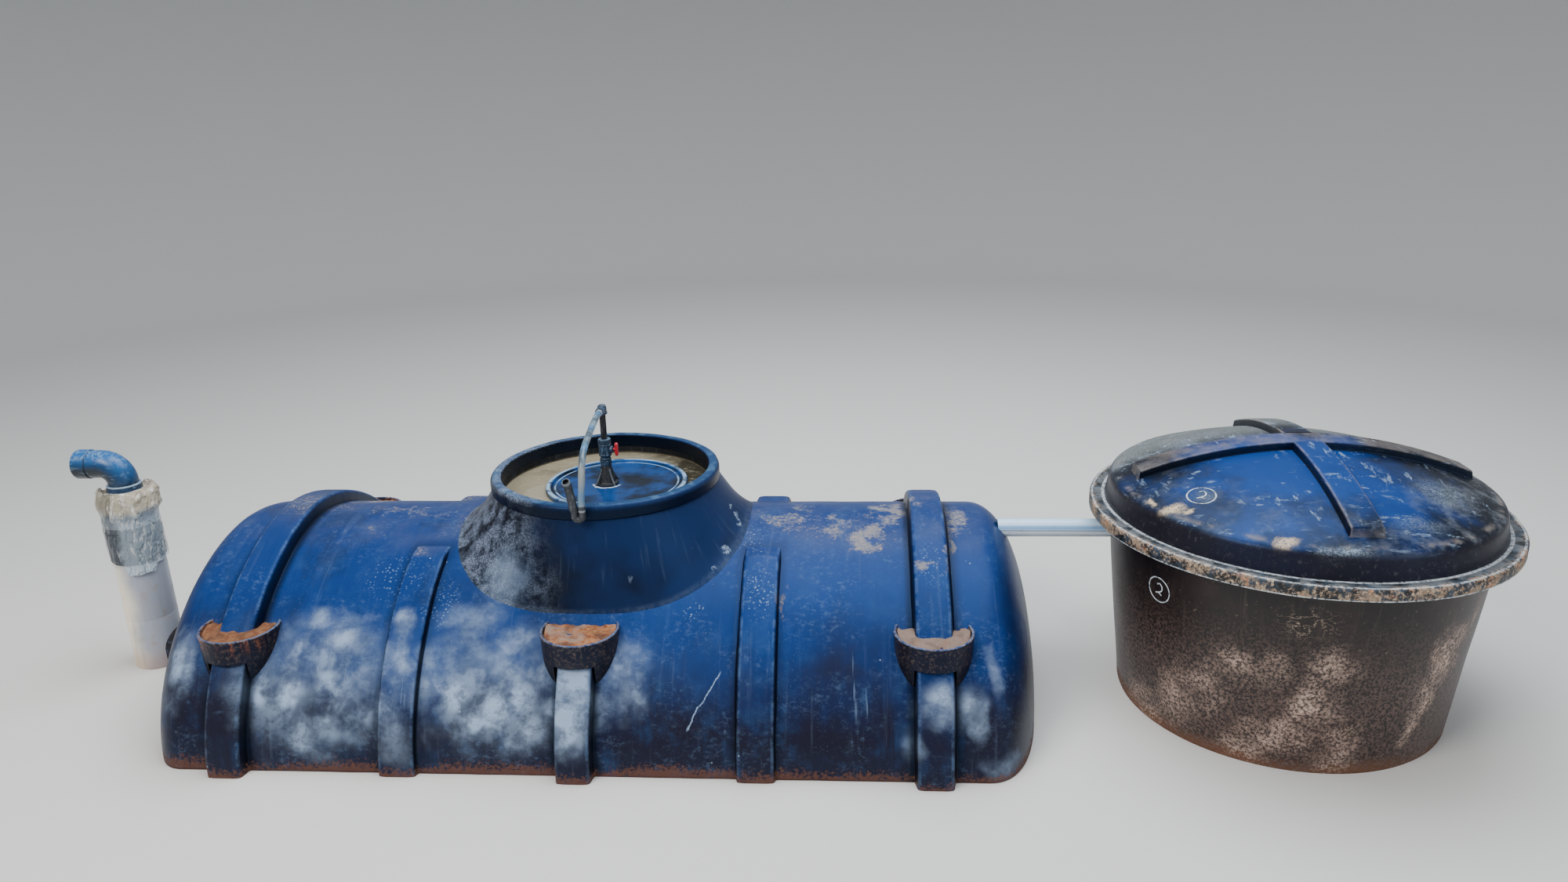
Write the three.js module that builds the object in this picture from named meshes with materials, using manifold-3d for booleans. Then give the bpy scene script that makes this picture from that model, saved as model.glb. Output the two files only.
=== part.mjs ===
// Household biogas digester: a long moulded tank with a round open neck and a floating gas lid, an
// inlet riser with an elbow at its left end, and an outlet pipe into a round slurry tank at its right.
// Millimetres, +Z up, +X along the tank towards the slurry tank, -Y is the front. Everything is
// built round the neck's axis, and the outermost group moves it so that the plan is centred.
import * as THREE from "three";
import { mergeVertices } from "three/addons/utils/BufferGeometryUtils.js";
import Module from "manifold-3d";

const wasm = await Module();
wasm.setup();

// Driving dimensions
const GAP = 0.3; // clearance between two pieces that touch
const SUNK = 3; // depth of a rib's foot below the arch before the arch is cut out of it
const FAR = 2000; // reach of a cutting block

// The barrel's section is an arch: |y / halfWidth|^power + (z / height)^power = 1.
const BARREL = { halfWidth: 680, height: 574, power: 1.82, wall: 12, straight: 1220, facets: 24 };
const DISH = { depth: 200, power: 2.3, rings: 5 };
const HOOP = { x: 1067, foot: 60, top: 52, proud: 42, edge: 8 };
const BAND = { from: 482, to: 599, proud: 20, topZ: 540, edge: 6 };
const POST = { foot: 57, top: 51, proud: 42, edge: 8 };
const LUG = { topZ: 398, y: 498, radius: 120, footRadius: 86, depth: 134, frontDepth: 55, cut: 61, segments: 32 };

const RIM = { outer: 380, inner: 344, bottomZ: 700, topZ: 745, round: 16 };
const SKIRT = { top: 373, saddleX: 530, saddleY: 452, power: 2.4, flare: 0.38, dip: 14, wall: 12, segments: 40 };
const ROUND = 40; // facets round the neck's rings, the gas lid and the slurry tank
const COLLAR = { outer: 354, bottomZ: 556 };
const CROWN_LEDGE = 4; // width of the cut crown inside the collar
const CROWN_CUT_Z = 400; // a height inside the tank below the cut
const TROUGH = { floorZ: 600, wall: 8, upstandRadius: 180, upstandZ: 655 };
const GAS_LID = { x: 33, radius: 237, wall: 8, plateZ: 676, topZ: 682, edge: 12, edgeZ: 690 };

const BOSS = { foot: 30, top: 17, topZ: 748, flange: 38, flangeHeight: 8, finReach: 34, finWidth: 6 };
const SOCKET = { radius: 20, topZ: 766 };
const VALVE = { ball: 21.5, end: 17, ballZ: 803, ballHalf: 20, topZ: 826, collar: 12, stemHole: 13 };
const UNION = { radius: 22, topZ: 840, ribs: 12 };
const HANDLE = { stem: 5, stemFrom: 15, plateFrom: 34, plateTo: 44, length: 46, width: 14 };
const GAS_RISER = { radius: 10.5, topZ: 926 };
const GAS_ELBOW = { radius: 17, topZ: 958, armRadius: 15, armReach: 40 };
const ELBOW_ARM_Z = (GAS_RISER.topZ + GAP + GAS_ELBOW.topZ) / 2;
const HOSE = { radius: 10.5, sides: 8, steps: 26 };
const RETURN = { radius: 10.5, bore: 7.5, boreDepth: 40, spread: 12, hoseEndZ: 738, sag: 14, topX: -26, topZ: 840 };

const INLET = { x: -1702, pipe: 82.5, wall: 5 };
const COUPLING = { radius: 88, fromZ: 405, toZ: 519 };
const WRAP = { radius: 97, neck: 62, fromZ: 519, toZ: 656 };
const ELBOW = { bend: 49, socket: 55, bore: 45, socketZ: 672, turnZ: 753, mouthX: -1848, mouth: 46, turn: 66 };
const FOOT_ELBOW = { radius: 95, toX: -1405, height: 190 };

const OUTLET = { radius: 30, bore: 26, z: 525, fromX: 1306 };
const SLURRY = { x: 2222, y: -102, foot: 501, top: 565, height: 639, wall: 12, parts: 4 };
const SLURRY_RIM = { outer: 628, drop: 38, plate: 12, lip: 12 };
const SLURRY_LID = {
  foot: 580, shoulder: 568, shoulderZ: 712, round: 18, apexZ: 848, wall: 8,
  armWidth: 94, armReach: 480, armFoot: 40, step: 26,
};

// The middle of the whole plant in plan, measured from the neck's axis
const CENTRE_X = (SLURRY.x + SLURRY_RIM.outer + ELBOW.mouthX) / 2;
const CENTRE_Y = (BARREL.halfWidth + HOOP.proud + SLURRY.y - SLURRY_RIM.outer) / 2;

// Colours, roughness and metalness of the finishes
const FINISH = {
  blackPlastic: { color: 0x1c232c, roughness: 0.42, metalness: 0 },
  innerPlastic: { color: 0x14171b, roughness: 0.55, metalness: 0 },
  greyPvc: { color: 0x6d8fb0, roughness: 0.35, metalness: 0 },
  whitePvc: { color: 0xd9dcdd, roughness: 0.45, metalness: 0 },
  valveGrey: { color: 0x55646e, roughness: 0.45, metalness: 0 },
  redPlastic: { color: 0xc81f2d, roughness: 0.4, metalness: 0 },
  clearHose: { color: 0xb9c6c4, roughness: 0.25, metalness: 0 },
  clearFilm: { color: 0xd8d6c8, roughness: 0.3, metalness: 0 },
};

// Building blocks

// A closed geometry as a solid: positions only, with its shared corners merged.
function solid(geometry) {
  const bare = geometry.clone();
  bare.deleteAttribute("normal");
  bare.deleteAttribute("uv");
  const merged = mergeVertices(bare, 1e-3);
  return new wasm.Manifold(
    new wasm.Mesh({
      numProp: 3,
      vertProperties: merged.attributes.position.array,
      triVerts: new Uint32Array(merged.index.array),
    }),
  );
}

// A solid back as a geometry.
function shaped(body) {
  const mesh = body.getMesh();
  const geometry = new THREE.BufferGeometry();
  geometry.setAttribute("position", new THREE.BufferAttribute(mesh.vertProperties, mesh.numProp));
  geometry.setIndex(new THREE.BufferAttribute(mesh.triVerts, 1));
  return geometry;
}

// A geometry moved by (x, y, z) after an optional turn about an axis, as a solid.
function placed(geometry, x, y, z, axis = null, angle = 0) {
  if (axis) geometry.applyMatrix4(new THREE.Matrix4().makeRotationAxis(axis, angle));
  geometry.translate(x, y, z);
  return solid(geometry);
}

const X_AXIS = new THREE.Vector3(1, 0, 0);
const Y_AXIS = new THREE.Vector3(0, 1, 0);
const Z_AXIS = new THREE.Vector3(0, 0, 1);

// A box between two corners.
function block(low, high) {
  const size = high.map((value, i) => value - low[i]);
  const middle = high.map((value, i) => (value + low[i]) / 2);
  return placed(new THREE.BoxGeometry(...size), ...middle);
}

// A body of revolution about an upright axis, from points (radius, height).
function turned(profile, x, y, segments = 32) {
  const points = profile.map(([radius, height]) => new THREE.Vector2(radius, height));
  return placed(new THREE.LatheGeometry(points, segments), x, y, 0, X_AXIS, Math.PI / 2);
}

// A solid round bar along X from one place to another.
function barAlongX(radius, fromX, toX, y, z, segments = 24) {
  const length = toX - fromX;
  const bar = new THREE.CylinderGeometry(radius, radius, length, segments);
  return placed(bar, fromX + length / 2, y, z, Z_AXIS, Math.PI / 2);
}

// A closed surface through sections with equal numbers of points. A ring joins the last section
// to the first; otherwise both ends are closed by flat fans.
function loft(sections, ring = false) {
  const around = sections[0].length;
  const positions = sections.flat().flatMap((point) => [point.x, point.y, point.z]);
  const faces = [];
  const spans = ring ? sections.length : sections.length - 1;
  for (let i = 0; i < spans; i++) {
    const next = (i + 1) % sections.length;
    for (let j = 0; j < around; j++) {
      const k = (j + 1) % around;
      const a = i * around + j;
      const b = i * around + k;
      const c = next * around + k;
      const d = next * around + j;
      faces.push(a, b, c, a, c, d);
    }
  }
  if (!ring) {
    const last = (sections.length - 1) * around;
    for (let j = 1; j < around - 1; j++) {
      faces.push(0, j + 1, j);
      faces.push(last, last + j, last + j + 1);
    }
  }
  if (signedVolume(positions, faces) < 0) faces.reverse();
  const geometry = new THREE.BufferGeometry();
  geometry.setAttribute("position", new THREE.Float32BufferAttribute(positions, 3));
  geometry.setIndex(faces);
  return solid(geometry);
}

// Six times the volume that a closed surface holds, below zero where its faces point inwards.
function signedVolume(positions, faces) {
  const corner = (i) => new THREE.Vector3().fromArray(positions, 3 * i);
  let total = 0;
  for (let i = 0; i < faces.length; i += 3) {
    const [a, b, c] = [corner(faces[i]), corner(faces[i + 1]), corner(faces[i + 2])];
    total += a.dot(b.cross(c));
  }
  return total;
}

// A solid round bar with an even number of sides along a curve through points.
function barAlong(points, radius, steps, sides) {
  const outline = new THREE.Shape().absarc(0, 0, radius, 0, 2 * Math.PI);
  const curve = new THREE.CatmullRomCurve3(points, false, "centripetal");
  const options = { steps, extrudePath: curve, curveSegments: sides / 2, bevelEnabled: false };
  return solid(new THREE.ExtrudeGeometry(outline, options));
}

// The arch

// A point of the arch, grown outwards along its normal, with share 0 at the front foot and 1 at
// the back foot.
function archPoint(share, grown = 0) {
  const { halfWidth, height, power } = BARREL;
  const angle = Math.PI * share;
  const cosine = Math.cos(angle);
  const sine = share === 0 || share === 1 ? 0 : Math.sin(angle);
  const y = -halfWidth * Math.sign(cosine) * Math.abs(cosine) ** (2 / power);
  const z = height * sine ** (2 / power);
  const normalY = (Math.sign(y) * (Math.abs(y) / halfWidth) ** (power - 1)) / halfWidth;
  const normalZ = (z / height) ** (power - 1) / height;
  const length = Math.hypot(normalY, normalZ);
  return { y: y + (grown * normalY) / length, z: z + (grown * normalZ) / length };
}

// The share of the arch at which it is at height z on the front side.
function archShare(z) {
  const { height, power } = BARREL;
  return Math.asin((z / height) ** (power / 2)) / Math.PI;
}

// The height of the arch at a distance y from the middle.
function archHeight(y, grown = 0) {
  const { halfWidth, height, power } = BARREL;
  const reach = Math.min(Math.abs(y) / (halfWidth + grown), 1);
  return (height + grown) * (1 - reach ** power) ** (1 / power);
}

// The outline of the arch from foot to foot, as (y, z) points.
function archOutline(grown = 0) {
  const count = BARREL.facets;
  return Array.from({ length: count + 1 }, (_, i) => archPoint(i / count, grown));
}

// A solid with the arch's outline between two places along the tank, carried down to a foot's height.
function archBlock(fromX, toX, grown, footZ = 0) {
  const points = archOutline(grown).map(({ y, z }) => new THREE.Vector2(y, z));
  const { y } = archPoint(1, grown);
  if (footZ < 0) points.push(new THREE.Vector2(y, footZ), new THREE.Vector2(-y, footZ));
  const outline = new THREE.Shape(points);
  const options = { depth: toX - fromX, bevelEnabled: false, steps: 1 };
  const geometry = new THREE.ExtrudeGeometry(outline, options);
  geometry.applyMatrix4(new THREE.Matrix4().makeBasis(Y_AXIS, Z_AXIS, X_AXIS));
  geometry.translate(fromX, 0, 0);
  return solid(geometry);
}

// A rib that lies on the arch between two shares of it: its foot is wider than its top, and its
// outer edges are taken off. Its foot starts at a given growth of the arch.
function archRib(x, size, fromShare, toShare, steps, footAt = GAP) {
  const { foot, top, proud, edge } = size;
  const sections = [];
  for (let i = 0; i <= steps; i++) {
    const share = fromShare + ((toShare - fromShare) * i) / steps;
    const at = (side, grown) => {
      const { y, z } = archPoint(share, grown);
      return new THREE.Vector3(x + side, y, z);
    };
    sections.push([
      at(-foot, footAt),
      at(-top, proud - edge),
      at(-top + edge, proud),
      at(top - edge, proud),
      at(top, proud - edge),
      at(foot, footAt),
    ]);
  }
  return loft(sections);
}

// Tank

// Half of a superellipsoid-like bulge: the arch scaled down along X, on one side of the tank.
function dish(side, inset) {
  const { straight, facets } = BARREL;
  const sections = [];
  const depth = DISH.depth - inset;
  for (let i = 0; i <= DISH.rings; i++) {
    const angle = (0.485 * Math.PI * i) / DISH.rings;
    const along = depth * Math.sin(angle) ** (2 / DISH.power);
    const scale = Math.cos(angle) ** (2 / DISH.power);
    const rim = [];
    for (let j = 0; j <= facets; j++) {
      const { y, z } = archPoint(j / facets, -inset);
      rim.push(new THREE.Vector3(side * (straight + along), y * scale, z * scale));
    }
    sections.push(rim);
  }
  return loft(sections);
}

// A dished end as a shell, open towards the barrel and at the ground.
function dishedEnd(side) {
  const { straight, wall } = BARREL;
  const opening = archBlock(straight - 1, straight, -wall);
  const inner = side > 0 ? opening : opening.mirror([1, 0, 0]);
  const hollow = dish(side, wall).add(inner);
  const below = hollow.translate([0, 0, -1]);
  return dish(side, 0).subtract(hollow).subtract(below);
}

// A stretch of the barrel as a shell, open at both ends and at the ground.
function barrelShell(fromX, toX) {
  const { wall } = BARREL;
  return archBlock(fromX, toX, 0).subtract(archBlock(fromX - 1, toX + 1, -wall, -1));
}

// The centre barrel, with its crown cut open under the neck.
function centreBarrel() {
  const radius = RIM.inner - CROWN_LEDGE;
  const crown = turned([[0, CROWN_CUT_Z], [radius, CROWN_CUT_Z], [radius, FAR], [0, FAR]], 0, 0, ROUND);
  return barrelShell(-HOOP.x, HOOP.x).subtract(crown);
}

// A hoop over the whole barrel.
function hoop(side) {
  return archRib(side * HOOP.x, HOOP, 0, 1, BARREL.facets);
}

// A band from the ground to the neck's skirt, on one side of the neck, at the front or the back.
function band(side, face, neck) {
  const middle = (side * (BAND.from + BAND.to)) / 2;
  const half = (BAND.to - BAND.from) / 2;
  const size = { foot: half, top: half - 3, proud: BAND.proud, edge: BAND.edge };
  const topShare = archShare(BAND.topZ);
  const front = archRib(middle, size, 0, topShare, 12, -SUNK).subtract(archBlock(-FAR, FAR, GAP, -1));
  const made = face < 0 ? front : front.mirror([0, 1, 0]);
  return made.subtract(neck);
}

// A centre post from the ground to the underside of its lug.
function centrePost(face) {
  const under = LUG.topZ - LUG.frontDepth - GAP;
  const above = block([-FAR, -FAR, under], [FAR, FAR, FAR]);
  const whole = archRib(0, POST, 0, archShare(under + POST.proud), 9, -SUNK).subtract(above);
  const front = whole.subtract(archBlock(-FAR, FAR, GAP, -1));
  return face < 0 ? front : front.mirror([0, 1, 0]);
}

// A half-round lug: a bowl that tapers into the barrel and is cut short over its post.
function lug(x, face, neighbour) {
  const { topZ, y, radius, footRadius, depth, frontDepth, cut, segments } = LUG;
  const foot = topZ - depth;
  const profile = [[0, foot], [footRadius, foot], [radius - 2, topZ - 16], [radius, topZ], [0, topZ]];
  const bowl = turned(profile, x, -y, segments);
  const overPost = block([x - cut, -FAR, 0], [x + cut, 0, topZ - frontDepth]);
  const front = bowl.subtract(overPost);
  const made = face < 0 ? front : front.mirror([0, 1, 0]);
  return made.subtract(neighbour).subtract(archBlock(-FAR, FAR, GAP, -1));
}

// Neck

// The skirt's section at one angle round the neck, as radii and heights from the top down.
function skirtProfile(angle, grown) {
  const { saddleX, saddleY, power, top, flare, dip } = SKIRT;
  const cosine = Math.abs(Math.cos(angle));
  const sine = Math.abs(Math.sin(angle));
  const reach = ((cosine / saddleX) ** power + (sine / saddleY) ** power) ** (-1 / power);
  const bottom = archHeight(reach * sine) - dip;
  const bend = flare * cosine ** 2;
  return [0, 0.4, 0.75, 0.9, 1].map((share) => {
    const spread = (1 - bend) * share + bend * share ** 5;
    const radius = top + (reach - top) * spread + grown;
    return [radius, RIM.bottomZ - GAP + (bottom - RIM.bottomZ) * share];
  });
}

// The flaring skirt as a full solid, or as a shell with the neck's wall thickness.
function skirtBody(grown, wall) {
  const sections = [];
  for (let i = 0; i < SKIRT.segments; i++) {
    const angle = (2 * Math.PI * i) / SKIRT.segments;
    const at = ([radius, z]) => new THREE.Vector3(radius * Math.cos(angle), radius * Math.sin(angle), z);
    const outer = skirtProfile(angle, grown);
    const inner = outer.map(([radius, z]) => [wall === null ? 0.5 : radius - wall, z]).reverse();
    sections.push([...outer, ...inner].map(at));
  }
  return loft(sections, true);
}

function neckSkirt() {
  return skirtBody(0, SKIRT.wall).subtract(archBlock(-FAR, FAR, GAP, -1));
}

function neckRim() {
  const { outer, inner, bottomZ, topZ, round } = RIM;
  const profile = [[inner, bottomZ], [outer - 5, bottomZ], [outer, bottomZ + 6], [outer, topZ - round]];
  const diagonal = round * Math.SQRT1_2;
  profile.push([outer - round + diagonal, topZ - round + diagonal], [outer - round, topZ]);
  profile.push([inner + 5, topZ], [inner, topZ - 5], [inner, bottomZ]);
  return turned(profile, 0, 0, ROUND);
}

function neckCollar() {
  const { outer, bottomZ } = COLLAR;
  const top = RIM.bottomZ - GAP;
  const { inner } = RIM;
  const profile = [[inner, bottomZ], [outer, bottomZ], [outer, top], [inner, top], [inner, bottomZ]];
  return turned(profile, 0, 0, ROUND).subtract(archBlock(-FAR, FAR, GAP, -1));
}

function sealTrough() {
  const { floorZ, wall, upstandRadius, upstandZ } = TROUGH;
  const outer = RIM.inner - GAP;
  const inner = upstandRadius - wall;
  const profile = [
    [inner, floorZ], [outer, floorZ], [outer, floorZ + wall], [upstandRadius, floorZ + wall],
    [upstandRadius, upstandZ], [inner, upstandZ], [inner, floorZ],
  ];
  return turned(profile, 0, 0, ROUND);
}

function gasLid() {
  const { x, radius, wall, plateZ, topZ, edge, edgeZ } = GAS_LID;
  const foot = TROUGH.floorZ + TROUGH.wall + GAP;
  const profile = [
    [0, plateZ], [radius - wall, plateZ], [radius - wall, foot], [radius, foot], [radius, edgeZ - 3],
    [radius - 3, edgeZ], [radius - edge, edgeZ], [radius - edge - 6, topZ], [0, topZ],
  ];
  return turned(profile, x, 0, ROUND);
}

// Gas fittings

// The boss on the gas lid: a flange, a cone and four upright gussets.
function lidBoss() {
  const base = GAS_LID.topZ + GAP;
  const { foot, top, topZ, flange, flangeHeight, finReach, finWidth } = BOSS;
  const ledge = base + flangeHeight;
  const cone = turned([[0, base], [flange, base], [flange, ledge], [foot, ledge], [top, topZ], [0, topZ]], 0, 0, 24);
  const fin = new THREE.Shape();
  fin.moveTo(0, flangeHeight / 2);
  fin.lineTo(finReach, flangeHeight / 2);
  fin.lineTo(top + 1, topZ - base - 8);
  fin.lineTo(0, topZ - base - 8);
  const fins = [0, 1, 2, 3].map((quarter) => {
    const geometry = new THREE.ExtrudeGeometry(fin, { depth: finWidth, bevelEnabled: false });
    geometry.translate(0, 0, -finWidth / 2);
    geometry.rotateX(Math.PI / 2);
    return placed(geometry, 0, 0, base, Z_AXIS, (Math.PI / 2) * quarter + Math.PI / 4);
  });
  return fins.reduce((left, right) => left.add(right), cone);
}

// The hexagon socket that screws into the boss.
function lidSocket() {
  const { radius, topZ } = SOCKET;
  const from = BOSS.topZ + GAP;
  return turned([[0, from], [radius, from], [radius, topZ], [0, topZ]], 0, 0, 6);
}

// The valve's body: an end, a round ball chamber, an end, and a bore for the handle's stem.
function valveBody() {
  const { ball, end, ballZ, ballHalf, topZ, collar, stemHole } = VALVE;
  const from = SOCKET.topZ + GAP;
  const profile = [
    [0, from], [end, from], [end, ballZ - ballHalf - 4], [ball, ballZ - ballHalf],
    [ball, ballZ + ballHalf], [end, ballZ + ballHalf + 2], [end, topZ], [0, topZ],
  ];
  const neck = barAlongX(collar, stemHole, ball + 6, 0, ballZ);
  const hole = barAlongX(HANDLE.stem + GAP, stemHole, HANDLE.plateFrom, 0, ballZ);
  return turned(profile, 0, 0, 24).add(neck).subtract(hole);
}

function unionRing() {
  const { radius, topZ, ribs } = UNION;
  const from = VALVE.topZ + GAP;
  const profile = [[0, from], [radius - 2, from], [radius, from + 3], [radius, topZ - 3], [radius - 2, topZ], [0, topZ]];
  return turned(profile, 0, 0, ribs);
}

// The red handle: a stem along X and a flat grip along the pipe.
function valveHandle() {
  const { stem, stemFrom, plateFrom, plateTo, length, width } = HANDLE;
  const shaft = barAlongX(stem, stemFrom, plateTo - 2, 0, VALVE.ballZ, 16);
  const grip = new THREE.Shape();
  grip.absarc(length / 2 - width / 2, 0, width / 2, -Math.PI / 2, Math.PI / 2);
  grip.absarc(width / 2 - length / 2, 0, width / 2, Math.PI / 2, (3 * Math.PI) / 2);
  const options = { depth: plateTo - plateFrom, bevelEnabled: false, curveSegments: 6 };
  const geometry = new THREE.ExtrudeGeometry(grip, options);
  return shaft.add(placed(geometry, plateFrom, 0, VALVE.ballZ, Y_AXIS, Math.PI / 2));
}

function gasRiser() {
  const { radius, topZ } = GAS_RISER;
  const from = UNION.topZ + GAP;
  return turned([[0, from], [radius, from], [radius, topZ], [0, topZ]], 0, 0, 20);
}

// The elbow on top of the riser, with its arm towards the front.
function gasElbow() {
  const { radius, topZ, armRadius, armReach } = GAS_ELBOW;
  const from = GAS_RISER.topZ + GAP;
  const body = turned([[0, from], [radius, from], [radius, topZ - 4], [radius - 4, topZ], [0, topZ]], 0, 0, 20);
  const arm = new THREE.CylinderGeometry(armRadius, armRadius, armReach, 20);
  return body.add(placed(arm, 0, -armReach / 2, ELBOW_ARM_Z));
}

// The hose's route: out of the elbow's arm to the front, in a flat arch over the rim, and straight
// down in front of it to the return fitting.
const HOSE_FRONT_Y = -402;
const HOSE_ROUTE = [
  [0, -GAS_ELBOW.armReach - GAP, ELBOW_ARM_Z],
  [0, -70, ELBOW_ARM_Z],
  [1, -105, 944],
  [4, -145, 947],
  [8, -185, 949],
  [12, -225, 949],
  [16, -265, 946],
  [20, -305, 938],
  [22, -340, 924],
  [23, -369, 902],
  [22, -390, 873],
  [20, -400, 840],
  [15, -402.5, 803],
  [RETURN.spread, HOSE_FRONT_Y, 768],
  [RETURN.spread, HOSE_FRONT_Y, RETURN.hoseEndZ],
];

function gasHose() {
  const points = HOSE_ROUTE.map(([x, y, z]) => new THREE.Vector3(x, y, z));
  return barAlong(points, HOSE.radius, HOSE.steps, HOSE.sides);
}

// The black fitting at the hose's end: a tight return bend and a straight stub, open at its top.
function hoseReturn() {
  const { radius, bore, boreDepth, spread, hoseEndZ, sag, topX, topZ } = RETURN;
  const from = hoseEndZ - GAP;
  const at = (x, z) => new THREE.Vector3(x, HOSE_FRONT_Y, z);
  const points = [at(spread, from), at(spread, from - sag)];
  for (let i = 1; i < 4; i++) {
    const angle = (Math.PI * i) / 4;
    points.push(at(spread * Math.cos(angle), from - sag - spread * Math.sin(angle)));
  }
  points.push(at(-spread, from - sag), at(-spread - 1, from), at(topX, topZ));
  const body = barAlong(points, radius, 18, 10);
  const lean = new THREE.Vector3(topX + spread + 1, 0, topZ - from).normalize();
  const mouth = at(topX, topZ).addScaledVector(lean, 5);
  const floor = at(topX, topZ).addScaledVector(lean, -boreDepth);
  return body.subtract(barAlong([floor, mouth], bore, 1, 10));
}

// Inlet

// A pipe between two heights on the inlet's axis.
function inletTube(radius, bore, fromZ, toZ, segments = 32) {
  return turned([[bore, fromZ], [radius, fromZ], [radius, toZ], [bore, toZ], [bore, fromZ]], INLET.x, 0, segments);
}

function inletPipe() {
  return inletTube(INLET.pipe, INLET.pipe - INLET.wall, FOOT_ELBOW.height + GAP, COUPLING.fromZ - GAP);
}

// The moulded foot that turns the riser into the tank's left end at ground level.
function inletFoot(leftEnd) {
  const { radius, toX, height } = FOOT_ELBOW;
  const upright = turned([[0, 0], [radius, 0], [radius, height], [0, height]], INLET.x, 0, 32);
  const arm = new THREE.Shape();
  arm.moveTo(-radius, 0);
  arm.lineTo(radius, 0);
  arm.lineTo(radius, height / 2);
  arm.absarc(0, height / 2, radius, 0, Math.PI);
  arm.lineTo(-radius, 0);
  const options = { depth: toX - INLET.x, bevelEnabled: false, curveSegments: 8 };
  const geometry = new THREE.ExtrudeGeometry(arm, options);
  geometry.applyMatrix4(new THREE.Matrix4().makeBasis(Y_AXIS, Z_AXIS, X_AXIS));
  return upright.add(placed(geometry, INLET.x, 0, 0)).subtract(leftEnd);
}

function inletCoupling() {
  return inletTube(COUPLING.radius, INLET.pipe - INLET.wall, COUPLING.fromZ, COUPLING.toZ);
}

// The tied plastic wrap round the reducer: full below, drawn in at its top.
function inletWrap() {
  const { radius, neck, fromZ, toZ } = WRAP;
  const from = fromZ + GAP;
  const profile = [
    [ELBOW.bore, from], [radius - 8, from], [radius, from + 20], [radius, from + 70], [radius - 8, toZ - 24],
    [neck + 18, toZ - 6], [neck, toZ], [ELBOW.bore, toZ], [ELBOW.bore, from],
  ];
  return turned(profile, INLET.x, 0, 32);
}

// The elbow: a socket on the wrap, a quarter bend, and a socket with its mouth to the left.
function inletElbow() {
  const { bend, socket, bore, socketZ, turnZ, mouthX, mouth, turn } = ELBOW;
  const from = WRAP.toZ + GAP;
  const at = (x, z) => new THREE.Vector3(x, 0, z);
  const quarter = [];
  for (let i = 0; i <= 6; i++) {
    const angle = (Math.PI * i) / 12;
    quarter.push(at(INLET.x - turn + turn * Math.cos(angle), turnZ - turn + turn * Math.sin(angle)));
  }
  const body = barAlong([at(INLET.x, from + 4), ...quarter, at(mouthX + 4, turnZ)], bend, 10, 16);
  const channel = barAlong([at(INLET.x, from - 10), ...quarter, at(mouthX - 10, turnZ)], bore, 10, 16);
  const lower = turned([[0, from], [socket, from], [socket, socketZ + 12], [0, socketZ + 12]], INLET.x, 0, 24);
  const upper = barAlongX(socket - 4, mouthX, mouthX + mouth, 0, turnZ);
  return body.add(lower).add(upper).subtract(channel);
}

// Outlet and slurry tank

// The radius of the slurry tank's outer wall at height z.
function slurryRadius(z) {
  return SLURRY.foot + ((SLURRY.top - SLURRY.foot) * z) / SLURRY.height;
}

// The slurry tank's whole wall as one tapered ring.
function slurryRing() {
  const { x, y, foot, top, height, wall } = SLURRY;
  const edge = height - GAP;
  const profile = [[foot - wall, 0], [foot, 0], [top, edge], [top - wall, edge], [foot - wall, 0]];
  return turned(profile, x, y, ROUND);
}

// A bar along X at the outlet's height.
function outletBar(radius, fromX, toX) {
  return barAlongX(radius, fromX, toX, 0, OUTLET.z);
}

// Where the outlet pipe ends: just inside the slurry tank's wall.
function outletEnd() {
  const { x, y, wall } = SLURRY;
  const reach = slurryRadius(OUTLET.z) - wall - 8;
  return x - Math.sqrt(reach ** 2 - y ** 2);
}

function outletPipe() {
  const { radius, bore, fromX } = OUTLET;
  return outletBar(radius, fromX, outletEnd()).subtract(outletBar(bore, fromX - 1, outletEnd() + 1));
}

// One segment of the slurry tank's wall, out of SLURRY.parts, with the outlet's hole where it falls.
function slurryWall(index) {
  const { x, y, parts } = SLURRY;
  const slice = new THREE.Shape();
  const from = (2 * Math.PI * index) / parts;
  const to = (2 * Math.PI * (index + 1)) / parts;
  slice.moveTo(0, 0);
  slice.lineTo(FAR * Math.cos(from), FAR * Math.sin(from));
  slice.lineTo(FAR * Math.cos(to), FAR * Math.sin(to));
  const wedge = placed(new THREE.ExtrudeGeometry(slice, { depth: FAR, bevelEnabled: false }), x, y, -1);
  return slurryRing().intersect(wedge).subtract(outletBar(OUTLET.radius + GAP, OUTLET.fromX, x));
}

function slurryFloor() {
  const { x, y, wall } = SLURRY;
  const inner = (z) => slurryRadius(z) - wall - GAP;
  return turned([[0, 0], [inner(0), 0], [inner(wall), wall], [0, wall]], x, y, ROUND);
}

// The rolled flange round the top of the slurry tank: a plate on the wall with a lip turned down.
function slurryRim() {
  const { x, y, top, height, wall } = SLURRY;
  const { outer, drop, plate, lip } = SLURRY_RIM;
  const inner = top - wall;
  const upper = height + plate;
  const profile = [
    [inner, height], [outer - lip, height], [outer - lip, upper - drop], [outer, upper - drop],
    [outer, upper - 5], [outer - 5, upper], [inner, upper], [inner, height],
  ];
  return turned(profile, x, y, ROUND);
}

// Points of the lid's surface from its foot to the apex, moved inwards by a wall's thickness or
// raised by the step of the arms.
function lidProfile(inset, raised) {
  const { foot, shoulder, shoulderZ, round, apexZ } = SLURRY_LID;
  const base = SLURRY.height + SLURRY_RIM.plate + GAP;
  const points = [[foot - inset, base], [shoulder - inset, shoulderZ]];
  const rise = apexZ - shoulderZ - round;
  for (let i = 0; i <= 5; i++) {
    const share = i / 5;
    const radius = (shoulder - round - inset) * (1 - share);
    points.push([radius, shoulderZ + round + rise * (1 - (1 - share) ** 2) - inset + raised]);
  }
  return points;
}

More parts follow.
